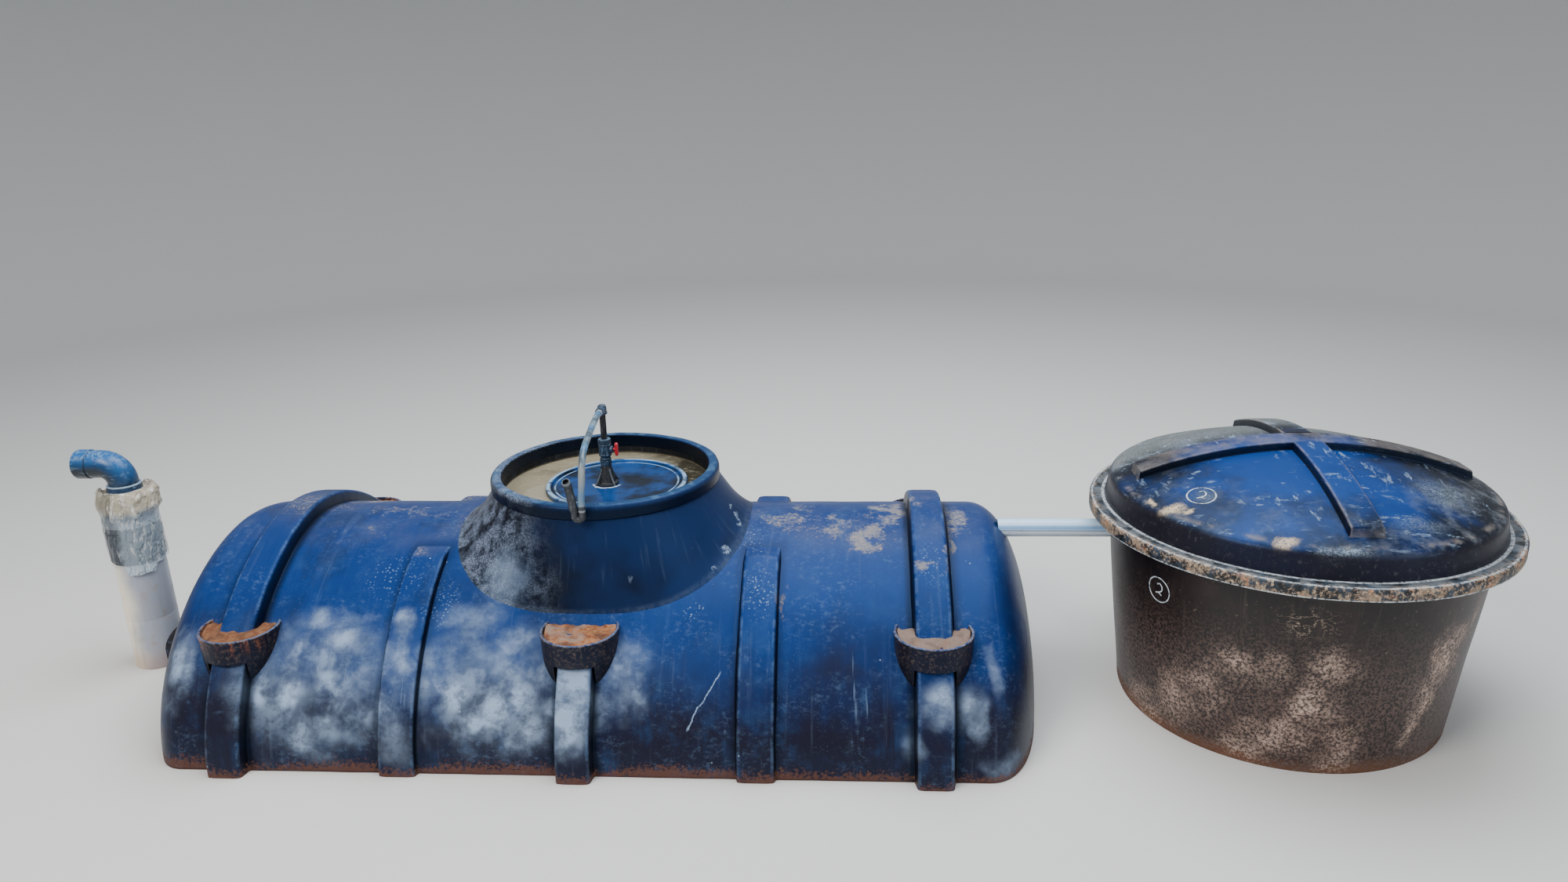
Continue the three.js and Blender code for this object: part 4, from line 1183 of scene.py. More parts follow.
@dataclass(frozen=True)
class Flange(Finish):
    """The slurry tank's flange: orange soil on its outer edge, pale worn lines at its corners."""

    centre: Pair

    def fill(self, paint: Paint) -> None:
        """Fills the material's nodes.

        Args:
            paint: The material to fill.
        """
        radius = paint.radius(self.centre)
        clumps = paint.noise(13, 6, rough=0.7)
        fine = paint.noise(110, 4, rough=0.75, shift=2.0)
        paint.start(paint.noise(30, 4, shift=4.0).smooth(0.4, 0.7), "#0d1015", "#34414f")
        edge = radius.smooth(0.604, 0.622)
        near = paint.y.smooth(0.15, -0.35)
        soil = (clumps + (fine - 0.5) * 0.6 + near * 0.06 - 0.05).smooth(0.46, 0.58) * edge
        paint.over(soil * 0.9, "#95806c")
        paint.over(soil * fine.smooth(0.52, 0.66) * 0.7, "#d0baa0")
        paint.over(soil * paint.noise(34, 4, shift=6.0).smooth(0.56, 0.66) * 0.55, "#bb7245")
        dusty = paint.noise(20, 4, shift=9.0).smooth(0.4, 0.6) * edge.smooth(1.0, 0.2)
        paint.over(dusty * 0.35, "#8b8f92")
        lines = (radius - 0.586).size().smooth(0.007, 0.003)
        lines = lines.most((radius - 0.62).size().smooth(0.005, 0.0015) * 0.8)
        lines = lines.most((paint.z - 0.615).size().smooth(0.003, 0.001) * edge)
        paint.over(lines * fine.smooth(0.36, 0.56) * 0.85, "#c4cbd0")
        paint.dress(0.45 + soil * 0.45, clumps * 0.5 + fine * 0.5, 0.003, 0.6, level=0.4)


@dataclass(frozen=True)
class CoverBlack(Finish):
    """The slurry tank's lid: blue from a painted sky reflection, scratched, hazy at the far side, black and
    scuffed on its side, with worn tan edges and painted shade on its cross's side faces."""

    centre: Pair

    def fill(self, paint: Paint) -> None:
        """Fills the material's nodes.

        Args:
            paint: The material to fill.
        """
        radius = paint.radius(self.centre)
        clouds = paint.noise(4, 4, rough=0.6)
        fine = paint.noise(190, 3, rough=0.75)
        near = paint.radius((2.15, -0.3), (0.8, 1, 0))
        # Darker near a point at the front, bluer away from it: a painted sky reflection
        paint.start((clouds * 1.2 - near * 1.4).smooth(-0.02, 0.48), "#0d0e14", "#0a3676")
        far = (paint.y + (clouds - 0.5) * 0.4).smooth(-0.07, 0.14) * (0.45 + fine.smooth(0.4, 0.6) * 0.55)
        paint.over(far * 0.7, "#8a8f8c")
        grimy = paint.noise(13, 5, rough=0.7, shift=11.0).smooth(0.46, 0.66) * radius.smooth(0.25, 0.5)
        paint.over(grimy * (0.12 + far * 0.2 + paint.x.smooth(2.2, 2.6) * 0.2), "#8a9098")
        # Scratches along and across
        marks = paint.noise(90, 4, (0.16, 0.5, 1), 0.7, 3.0).smooth(0.57, 0.66)
        marks = marks * paint.noise(5, 3, shift=8.0).smooth(0.46, 0.6)
        cross = paint.noise(80, 4, (0.5, 0.12, 1), 0.7, 14.0).smooth(0.58, 0.66)
        cross = cross * paint.noise(4, 3, shift=16.0).smooth(0.48, 0.62)
        paint.over(marks.most(cross) * 0.42, "#9db4cc")
        tan = paint.spots(COVER_TAN, 0.06, 24, 0.3) * fine.smooth(0.35, 0.5)
        paint.over(tan * 0.85, "#d6be98")
        pale = paint.spots(COVER_PALE, 0.06, 12, 0.1)
        paint.over(pale * (0.15 + fine.smooth(0.44, 0.6) * 0.6), "#a2b2c2")
        # The upright side, black without the painted sky reflection, and its worn shoulder
        side = paint.z.smooth(0.728, 0.712)
        paint.over(side * 0.92, "#1f1a1d")
        scuff = paint.runs(self.centre, 90, 0.6, rough=0.75).smooth(0.55, 0.7) * side
        paint.over(scuff * 0.16, "#8d8a86")
        shoulder = (paint.z - 0.735).size().smooth(0.01, 0.002) * radius.smooth(0.53, 0.55)
        shoulder = shoulder * paint.noise(12, 5, rough=0.65, shift=2.0).smooth(0.45, 0.62)
        worn = (paint.mark("wear_and_highlight") * paint.noise(14, 5, rough=0.6).smooth(0.3, 0.66)).most(shoulder)
        paint.over(worn * 0.46, "#978c82")
        # Painted shade on the cross's side faces
        paint.over(paint.mark("shade") * 0.94, "#060608")
        rough = 0.3 + far * 0.28 + worn * 0.2 + fine * 0.12
        height = fine * 0.12 + paint.noise(6, 2, shift=7.0)
        paint.dress(rough, height, 0.005, 0.28, level=0.31, Specular_Tint=SHEEN)


@dataclass(frozen=True)
class Chalk(Finish):
    """Thin, patchy chalk."""

    def fill(self, paint: Paint) -> None:
        """Fills the material's nodes.

        Args:
            paint: The material to fill.
        """
        patchy = paint.noise(70, 4, rough=0.7).smooth(0.34, 0.56)
        paint.start(patchy, "#6f7a86", "#d3dbe2")
        paint.dress(0.85, paint.noise(500, 2), 0.0004, 0.3, level=0.2)


@dataclass(frozen=True)
class Floor(Finish):
    """Plain pale studio floor."""

    base: str = "#d9d7d3"

    def fill(self, paint: Paint) -> None:
        """Fills the material's nodes.

        Args:
            paint: The material to fill.
        """
        paint.start(paint.noise(1.2, 2) * 0.25, self.base, "#cfcdc9")
        paint.dress(0.9, level=0.1)


TANK = MouldedBlack("moulded_black")
LUG = MouldedBlack("lug_black", lug=True)
FOOT = MouldedBlack("foot_black", low="#1f1b19", high="#38312c", haze_and_sunlight="#5c6166", gloss=0.48,
                    sheen=(0.8, 0.85, 0.9, 1.0))
STUB = Fitting("stub_grey", base="#2c3036", light="#848c93", gloss=0.42)
SKIRT = SkirtBlack("skirt_black")
RIM = SkirtBlack("rim_black", rim=True)
INNER = InnerBlack("inner_black")
SOIL = Soil("soil")
GREY = Fitting("grey_fitting")
BLACK_TUBE = Fitting("black_tube", base="#111318", light="#5b636c", gloss=0.38)
RED = Fitting("red_grip", base="#b5121f", light="#e0596a", gloss=0.32)
REDUCER = Fitting("reducer_grey", base="#282e37", light="#8794a0", gloss=0.4)
CLAMP = Fitting("clamp_steel", base="#7d858c", light="#c8ced3", gloss=0.3)
WHITE = WhitePipe("white_pipe_dusty")
BLUE = BluePipe("blue_pipe_glossy")


def settle(piece: Piece, finish: Finish, slot: Slot, *nodes: str, body: Body = Body.PLANT) -> Piece:
    """Gives a piece its finish and body, hides the frame's nodes that it stands for, and reports it.

    Args:
        piece: The object.
        finish: Its finish.
        slot: The record's slot that it belongs to; not used.
        *nodes: The frame's nodes that it stands for.
        body: The body that it rides on.

    Returns:
        The object.
    """
    piece.data.materials.append(finish.material())
    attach(piece, body.value)
    if nodes:
        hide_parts(*nodes)
    logging.info("%s: %d faces, %s", piece.name, len(piece.data.polygons), finish.label)
    return piece


# The object


@dataclass
class Camera:
    """The camera, at the photograph's place and angle."""

    eye: Point = (0.3455, -3.5093, 1.9736)
    yaw: float = 4.0134
    pitch: float = 17.9849
    roll: float = 1.3876
    focal: float = 1432.4914
    width: float = 2000.0

    def build(self) -> None:
        """Adds the camera: its axes come from yaw, pitch and roll, in that order."""
        yaw, pitch, roll = (math.radians(a) for a in (self.yaw, self.pitch, self.roll))
        ahead = np.array([-math.sin(yaw) * math.cos(pitch), math.cos(yaw) * math.cos(pitch), -math.sin(pitch)])
        right = np.array([math.cos(yaw), math.sin(yaw), 0.0])
        down = np.cross(ahead, right)
        across = math.cos(roll) * right + math.sin(roll) * down
        below = -math.sin(roll) * right + math.cos(roll) * down
        place = np.eye(4)
        place[:3, 0], place[:3, 1], place[:3, 2], place[:3, 3] = across, -below, -ahead, self.eye
        data = bpy.data.cameras.new("camera")
        data.sensor_width = 36.0
        data.lens = self.focal / self.width * data.sensor_width
        camera = bpy.data.objects.new("camera", data)
        camera.matrix_world = Matrix(place.tolist())
        bpy.context.scene.collection.objects.link(camera)
        bpy.context.scene.camera = camera


@dataclass
class Studio:
    """Floor, lights and world."""

    flat: float = 8.0
    reach: float = 16.0
    rise: float = 3.8

    def build(self) -> None:
        """Adds the floor, which rises smoothly far from the object, and soft lights."""
        radius = np.concatenate([[0.0], np.linspace(1, self.reach, 60)])
        height = self.rise * smooth(self.flat, self.reach, radius) - 0.0005
        skin = Skin().grid(lathe(np.stack([radius, height], -1), (0.5, 0.0), 96), around=True)
        floor = skin.build("floor", inside=(0.0, 0.0, -3.0), crease=80)
        floor.data.materials.append(Floor("floor_pale").material())
        self.lamp("key", (-3.2, -4.2, 5.2), (0.1, 0.0, 0.3), 3.0, 330.0, (1.0, 0.97, 0.93))
        self.lamp("overhead", (0.6, 0.6, 5.2), (0.3, 0.0, 0.4), 4.6, 380.0, (0.9, 0.95, 1.0))
        self.lamp("fill", (4.6, -3.8, 2.6), (0.8, 0.0, 0.4), 3.0, 60.0, (0.92, 0.95, 1.0))
        world = bpy.data.worlds.new("studio")
        world.use_nodes = True
        background = world.node_tree.nodes["Background"]
        background.inputs["Color"].default_value = (0.72, 0.78, 0.86, 1.0)
        background.inputs["Strength"].default_value = 0.5
        bpy.context.scene.world = world

    def lamp(self, name: str, at: Point, to: Point, size: float, power: float, colour: Point) -> None:
        """Adds a square area light that faces a point.

        Args:
            name: The light's name.
            at: Its place.
            to: The point that it faces.
            size: The length of its sides.
            power: Its power in watts.
            colour: Its colour.
        """
        data = bpy.data.lights.new(name, "AREA")
        data.size, data.energy, data.color = size, power, colour
        lamp = bpy.data.objects.new(name, data)
        away = Matrix.Translation(at).translation - Matrix.Translation(to).translation
        lamp.matrix_world = Matrix.Translation(at) @ away.to_track_quat("Z", "Y").to_matrix().to_4x4()
        bpy.context.scene.collection.objects.link(lamp)


@dataclass
class Tank:
    """The long arched tank: its barrel, ends, hoops, bands, posts and lugs."""

    half_width: float = 0.68
    height: float = 0.574
    power: float = 1.82
    straight: float = 1.22
    hoop_x: float = 1.067
    crown_cut: float = 0.34
    dish_depth: float = 0.2
    dish_power: float = 2.3
    band_x: float = 0.5405
    cup_y: float = 0.498
    notch_z: float = 0.32
    wing_z: float = 0.253
    notch_half: float = 0.061
    cup_sunk: float = 0.008

    def arch(self, share: Array, grown: Array | float = 0.0) -> tuple[Array, Array]:
        """The arch |y/w|^p + (z/h)^p = 1, grown along its normal.

        Args:
            share: 0 at the front foot, 0.5 at the crown, 1 at the back foot.
            grown: Growth in metres.

        Returns:
            y and z.
        """
        angle = math.pi * np.asarray(share, float)
        c, s = np.cos(angle), np.maximum(np.sin(angle), 0.0)
        y = -self.half_width * np.sign(c) * np.abs(c) ** (2 / self.power)
        z = self.height * s ** (2 / self.power)
        ny = np.sign(y) * (np.abs(y) / self.half_width) ** (self.power - 1) / self.half_width
        nz = (z / self.height) ** (self.power - 1) / self.height
        length = np.hypot(ny, nz)
        return y + grown * ny / length, z + grown * nz / length

    def share_at(self, z: float) -> float:
        """The front share of the arch at a height."""
        return math.asin((z / self.height) ** (self.power / 2)) / math.pi

    def width_at(self, z: Array) -> Array:
        """The arch's half width at a height."""
        return self.half_width * (1 - np.clip(z / self.height, 0, 1) ** self.power) ** (1 / self.power)

    def height_at(self, y: Array) -> Array:
        """The arch's height at a distance from the middle."""
        return self.height * (1 - np.clip(np.abs(y) / self.half_width, 0, 1) ** self.power) ** (1 / self.power)

    def skin(self, x: Array, share: Array, fade: Array | float = 1.0) -> Array:
        """Points of the barrel with about a millimetre of unevenness.

        Args:
            x: Places along the tank.
            share: Shares of the arch.
            fade: Share of the unevenness that stays.

        Returns:
            The points.
        """
        x, share = np.broadcast_arrays(x, share)
        y, z = self.arch(share)
        grown = 0.0011 * ripple(np.stack([x, y, z], -1), 0.42, 4) * fade
        y, z = self.arch(share, grown)
        return np.stack([x, y, np.maximum(z, 0.0005)], -1)

    def middle(self) -> None:
        """The barrel between the hoops: u runs from each foot to the crown, or to the round cut
        under the neck, where y = sqrt(r² - x²)."""
        cut = self.crown_cut
        x = np.unique(np.concatenate([np.linspace(-self.hoop_x, self.hoop_x, 150),
                                      cut * np.cos(np.linspace(0, math.pi, 61))]))
        reach = np.sqrt(np.clip(cut**2 - x**2, 0, None)) / self.half_width
        top = (np.arccos(reach ** (self.power / 2)) / math.pi)[:, None]
        share = np.linspace(0, 1, 64)[None, :] * top
        fade = smooth(self.hoop_x, self.hoop_x - 0.08, np.abs(x))[:, None]
        front, back = self.skin(x[:, None], share, fade), self.skin(x[:, None], 1 - share, fade)
        # Painted shade beside each rib, with some grime: its place, half width, strength and top
        ribs = [(self.hoop_x, 0.062, 1.0, 1.0), (self.band_x, 0.061, 0.45, 0.535), (0.0, 0.059, 0.9, 0.36)]
        dark = sum(k * smooth(half + 0.026, half, np.abs(np.abs(front[..., 0]) - at))
                   * smooth(high + 0.02, high, front[..., 2]) for at, half, k, high in ribs)
        skin = Skin().grid(front, shade=dark).grid(back, shade=dark)
        piece = skin.build("barrel_middle", inside=(0, 0, 0.1), crease=50, wall=0.01)
        settle(piece, TANK, Slot.BLACK, "centre_barrel")

    def end(self, side: int, label: str) -> None:
        """The barrel's last stretch and its dished end: along = d·sin^(2/q), scale = cos^(2/q).

        Args:
            side: -1 for the left end, 1 for the right.
            label: The side's name.
        """
        share = np.linspace(0, 1, 121)[None, :]
        straight = np.linspace(self.hoop_x, self.straight, 9)[:-1, None]
        body = self.skin(side * straight, share, smooth(self.hoop_x, self.hoop_x + 0.08, straight))
        angle = np.concatenate([np.linspace(0, 0.3, 16)[:-1], np.linspace(0.3, math.pi / 2, 34)])[:, None]
        along = self.dish_depth * np.sin(angle) ** (2 / self.dish_power)
        scale = np.clip(np.cos(angle), 0, 1) ** (2 / self.dish_power)
        rim = self.skin(np.full((1, 1), side * self.straight), share)
        x = np.broadcast_to(side * (self.straight + along), (len(angle), share.shape[1]))
        dish = np.stack([x, rim[..., 1] * scale, np.maximum(rim[..., 2] * scale, 0.0005)], -1)
        whole = np.concatenate([body, dish])
        # Painted shade beside the hoop and on the dished end face
        dark = smooth(self.hoop_x + 0.088, self.hoop_x + 0.062, np.abs(whole[..., 0]))
        dark = np.maximum(dark, 0.42 * smooth(0.03, 0.1, np.abs(whole[..., 0]) - self.straight))
        skin = Skin().grid(whole, shade=dark)
        piece = skin.build(f"tank_end_{label}", inside=(side * 1.1, 0, 0.1), crease=60, wall=0.01)
        settle(piece, TANK, Slot.BLACK, f"{label}_barrel", f"{label}_end")

    def rib(self, x: float, half: Pair, proud: float, share: Array, rise: Array | float = 1.0) -> Skin:
        """A rounded rib on the arch: its section is a flat-topped hump, wider at its foot.

        Args:
            x: The middle of the rib.
            half: Half its width at the foot and at the top.
            proud: Its height.
            share: The shares of the arch that it passes.
            rise: Factor on its height at each share.

        Returns:
            The rib as a closed body.
        """
        foot, top = half
        corners = [(top, proud - 0.0012), (foot, 0.0015), (foot + 0.009, -0.004)]
        outline = hump(corners, [0.011, 0.005, 0.0], proud, top * 0.6)
        offset, grown = outline[:, 0][None, :], outline[:, 1][None, :]
        lifted = np.where(grown > 0, grown * rise, grown) - 0.004 * (1 - np.asarray(rise))
        y, z = self.arch(share[:, None], lifted)
        points = np.stack(np.broadcast_arrays(x + offset, y, np.maximum(z, 0.0)), -1)
        points = points + 0.0007 * ripple(points, 0.22, 9)[..., None] * np.array([1.0, 0, 0])
        corner = np.hypot(np.abs(offset) - top + 0.002, grown - proud + 0.002)
        # Pale top corners, worn and with a painted highlight, and painted shade on the side faces
        wear_and_highlight = smooth(0.009, 0.003, corner) * (grown > 0.6 * proud) * np.ones_like(y)
        side = smooth(proud * 0.97, proud * 0.62, grown) * (np.abs(offset) > top - 0.004)
        return Skin().loft(points, wear_and_highlight, side * np.asarray(rise))

    def hoop(self, side: int, label: str) -> None:
        """A hoop over the whole barrel."""
        skin = self.rib(side * self.hoop_x, (0.06, 0.052), 0.042, np.linspace(0, 1, 171))
        settle(skin.build(f"hoop_{label}"), TANK, Slot.BLACK, f"{label}_hoop")

    def band(self, side: int, label: str, face: int, where: str) -> None:
        """A low band from the ground to the skirt, fading out at its top.

        Args:
            side: -1 for the left, 1 for the right.
            label: The side's name.
            face: -1 at the front, 1 at the back.
            where: The face's name.
        """
        share = np.linspace(0, self.share_at(0.545), 90)
        _, z = self.arch(share)
        rise = smooth(0.548, 0.512, z)[:, None]
        skin = self.rib(side * self.band_x, (0.0585, 0.055), 0.02, share, rise)
        settle(skin.build(f"band_{where}_{label}", face=face), TANK, Slot.BLACK, f"{where}_{label}_band")

    def post(self, face: int, where: str) -> None:
        """The post under the middle lug."""
        skin = self.rib(0.0, (0.057, 0.051), 0.042, np.linspace(0, self.share_at(0.362), 60))
        settle(skin.build(f"post_{where}", face=face), TANK, Slot.BLACK, f"{where}_centre_post")

    def cup_radius(self, z: Array) -> Array:
        """The lug's radius at a height: a bowl that opens upwards, with an upright lip."""
        return np.interp(z, [0.25, 0.27, 0.3, 0.34, 0.385, 0.392], [0.105, 0.1105, 0.1145, 0.1165, 0.118, 0.12])

    def cup_limit(self, z: Array, radius: Array) -> Array:
        """The angle from the front at which the lug meets the barrel."""
        return np.arccos(np.clip((self.width_at(z) - self.cup_sunk - self.cup_y) / radius, -1, 1))

    def cup(self, x: float, label: str, face: int, where: str, soiled: float) -> None:
        """A half-round lug: its wall follows a circle round (x, cup_y) between the angles where it
        meets the barrel, with a rolled lip, two wings below and a notch over its post.

        Args:
            x: Its middle along the tank.
            label: Its side.
            face: -1 at the front, 1 at the back.
            where: The face's name.
            soiled: How high its soil is heaped, in metres.
        """
        # The rolled lip as (height, distance inwards)
        lip = np.array([(0.394, 0.0), (0.3965, 0.0009), (0.398, 0.003), (0.3983, 0.0055), (0.3972, 0.008),
                        (0.394, 0.0095), (0.384, 0.01)])
        z = np.concatenate([np.linspace(self.notch_z, 0.391, 14), lip[:, 0]])[:, None]
        radius = self.cup_radius(z) - np.concatenate([np.zeros(14), lip[:, 1]])[:, None]
        limit = self.cup_limit(z, radius)
        split = math.asin(self.notch_half / float(self.cup_radius(np.array(self.notch_z))))
        a, b = np.linspace(0, 1, 26)[None, :], np.linspace(-1, 1, 41)[None, 1:-1]
        sides = (limit - split) * a
        middle = np.broadcast_to(split * b, (len(z), b.shape[1]))
        angle = np.concatenate([sides - limit, middle, sides + split], 1)
        wall = self.cup_points(x, radius, angle, z)
        # A worn lip with a painted highlight, and painted shade on the wall below it
        worn = smooth(0.39, 0.397, z) * np.ones_like(angle)
        dark = (1 - worn) * 0.35
        skin = Skin().grid(wall, wear_and_highlight=worn, shade=dark)
        # The wings on both sides of the notch, in painted shadow under the lug
        low = np.linspace(self.notch_z, self.wing_z, 16)[:, None]
        cone = self.cup_radius(low)
        reach = self.cup_limit(low, cone)
        start = np.minimum(np.arcsin(self.notch_half / cone), reach)
        back = self.cup_sunk - self.width_at(low)
        for hand in (-1, 1):
            wing = self.cup_points(x, cone, hand * (start + (reach - start) * a), low)
            front = wing[:, :1]
            rear = np.stack([front[..., 0], back, low], -1)
            inner = front + (rear - front) * np.linspace(0, 1, 6)[None, :, None]
            skin.grid(wing, shade=0.7).grid(inner, shade=1.0)
        # The notch's upper edge and the lug's floor, both in painted shade
        edge = self.cup_points(x, self.cup_radius(low[:1]), split * np.linspace(-1, 1, 41)[None, :], low[:1])
        rear = self.pushed_back(edge)
        skin.grid(edge + (rear - edge) * np.linspace(0, 1, 5)[:, None, None], shade=1.0)
        floor = wall[-1:]
        rear = self.pushed_back(floor)
        skin.grid(floor + (rear - floor) * np.linspace(0, 1, 5)[:, None, None], shade=0.6)
        piece = skin.build(f"lug_{where}_{label}", inside=(x, -0.5, 0.362), face=face)
        settle(piece, LUG, Slot.BLACK, f"{where}_{label}_lug")
        # Soil heaped against the barrel
        t = np.linspace(0, 1, 22)[:, None, None]
        heap = floor + (rear - floor) * t
        lumps = ripple(heap, 0.05, 3 + int(10 * abs(x)), 4)
        rise = 0.003 + soiled * smooth(0, 0.35, t[..., 0]) + 0.0035 * lumps
        heap = heap + np.stack([np.zeros_like(rise), np.zeros_like(rise), rise], -1)
        soil = Skin().grid(heap).build(f"soil_{where}_{label}", inside=(x, -0.5, 0.2), face=face)
        settle(soil, SOIL, Slot.BLACK)

    def pushed_back(self, edge: Array) -> Array:
        """A level edge of the lug, moved straight back into the barrel."""
        back = self.cup_sunk - self.width_at(edge[..., 2:])
        return np.concatenate([edge[..., :1], back, edge[..., 2:]], -1)

    def cup_points(self, x: float, radius: Array, angle: Array, z: Array) -> Array:
        """Points on the lug's circle: x + r sin a, -(cup_y + r cos a)."""
        y = -(self.cup_y + radius * np.cos(angle))
        return np.stack(np.broadcast_arrays(x + radius * np.sin(angle), y, z), -1)

    def build(self) -> None:
        """Makes the tank's pieces in order."""
        self.middle()
        for side, label in ((-1, "left"), (1, "right")):
            self.end(side, label)
            self.hoop(side, label)
        for face, where in ((-1, "front"), (1, "back")):
            for side, label in ((-1, "left"), (1, "right")):
                self.band(side, label, face, where)
                self.cup(side * self.hoop_x, label, face, where, 0.004)
            self.post(face, where)
            self.cup(0.0, "centre", face, where, 0.006)


@dataclass
class Neck:
    """The neck: skirt, rim, inner wall, sealing water and the floating gas lid."""

    tank: Tank
    top: float = 0.373
    saddle_x: float = 0.515
    saddle_y: float = 0.441
    power: float = 3.0
    flare: float = 0.38
    dip: float = 0.014
    rim_foot: float = 0.6995
    lid_x: float = 0.033
    water_z: float = 0.6735

    def skirt(self) -> None:
        """The flaring skirt: round at the top, a superellipse at the saddle. At angle a its reach
        is ((|cos a|/sx)^p + (|sin a|/sy)^p)^(-1/p), and its radius top + (reach - top)·spread,
        with spread = (1 - b)s + b·s⁵ for the share s of the way down."""
        a = full_turn(220)
        s = np.linspace(0, 1, 60)[:, None]
        c, n = np.abs(np.cos(a)), np.abs(np.sin(a))
        reach = ((c / self.saddle_x) ** self.power + (n / self.saddle_y) ** self.power) ** (-1 / self.power)
        foot = self.tank.height_at(reach * n) - self.dip
        bend = self.flare * c**2
        radius = self.top + (reach - self.top) * ((1 - bend) * s + bend * s**5)
        z = self.rim_foot + (foot - self.rim_foot) * s
        points = np.stack([radius * np.cos(a), radius * np.sin(a), z], -1)
        points[..., 2] += 0.0012 * ripple(points, 0.3, 6) * (s * (1 - s) * 4)
        lift = points[..., 2] - self.tank.height_at(points[..., 1])
        wear_and_highlight = smooth(0.013, 0.004, np.abs(lift - 0.002)) * 0.3
        skin = Skin().grid(points, around=True, wear_and_highlight=wear_and_highlight)
        piece = skin.build("skirt", inside=(0, 0, 0.5), crease=60, wall=0.01)
        settle(piece, SKIRT, Slot.BLACK, "neck_skirt")

    def ring(self) -> None:
        """The rolled rim, and the wall under it inside the neck."""
        corners = [(0.344, 0.7), (0.38, 0.7), (0.38, 0.745), (0.344, 0.745)]
        profile = rounded(corners, [0.001, 0.004, 0.019, 0.007], 9, closed=True)
        points = lathe(profile, turns=160)
        points = points + 0.0008 * ripple(points, 0.25, 8)[..., None]
        # Painted shade on the rim's inner side and on its outer wall below the rounded top
        dark = np.maximum(smooth(0.352, 0.346, profile[:, 0]) * smooth(0.744, 0.738, profile[:, 1]),
                          0.93 * smooth(0.739, 0.724, profile[:, 1]))[:, None]
        rim = Skin().grid(points, True, True, shade=dark).build("rim", crease=60)
        settle(rim, RIM, Slot.BLACK, "neck_rim")
        corners = [(0.344, 0.556), (0.354, 0.556), (0.354, 0.6997), (0.344, 0.6997)]
        wall = lathe(rounded(corners, 0.001, 3, closed=True), turns=128)
        settle(Skin().grid(wall, True, True).build("inner_wall"), INNER, Slot.DARK, "neck_collar")

    def water(self) -> None:
        """Still water between the wall and the floating lid: straight lines from one circle to
        the other, with a slight rise where it wets them."""
        a = full_turn(160)
        t = np.linspace(0, 1, 24)[:, None]
        radius = 0.3442 * (1 - t) + 0.2368 * t
        x, y = radius * np.cos(a) + self.lid_x * t, radius * np.sin(a)
        z = self.water_z + 0.0016 * (np.exp(-t / 0.03) + np.exp(-(1 - t) / 0.03)) + 0 * a
        skin = Skin().grid(np.stack([x, y, z], -1), around=True)
        piece = skin.build("seal_water", inside=(0, 0, 0.2), crease=80)
        settle(piece, Water("seal_water_khaki"), Slot.DARK)

    def lid(self) -> None:
        """The floating gas lid: a disc with a raised edge and a second low ring."""
        corners = [(0.0, 0.682), (0.196, 0.682), (0.201, 0.6845), (0.21, 0.6845), (0.2145, 0.682),
                   (0.219, 0.69), (0.237, 0.69), (0.237, 0.609), (0.229, 0.609), (0.229, 0.676), (0.0, 0.676)]
        profile = rounded(corners, [0, 0.003, 0.002, 0.002, 0.003, 0.004, 0.006, 0.001, 0.001, 0.002, 0], 6)
        spokes = np.linspace(0, 0.19, 14)[:-1]
        profile = np.concatenate([np.stack([spokes, np.full_like(spokes, 0.682)], -1), profile[6:]])
        points = lathe(profile, (self.lid_x, 0.0), 140)
        piece = Skin().grid(points, around=True).build("floating_lid", crease=40)
        settle(piece, WetLid("wet_lid", (self.lid_x, 0.0)), Slot.BLACK, "gas_lid")

    def build(self) -> None:
        """Makes the neck's pieces in order, and dresses the trough under the water."""
        self.skirt()
        self.ring()
        self.water()
        self.lid()
        dress_node("seal_trough", INNER)


def dress_node(name: str, finish: Finish) -> None:
    """Gives a node of the frame, whose shape is right, a better finish.

    Args:
        name: The node's name.
        finish: The finish.
    """
    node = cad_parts[name]
    node.data.materials.clear()
    node.data.materials.append(finish.material())
    logging.info("%s: kept from the frame, %s", name, finish.label)


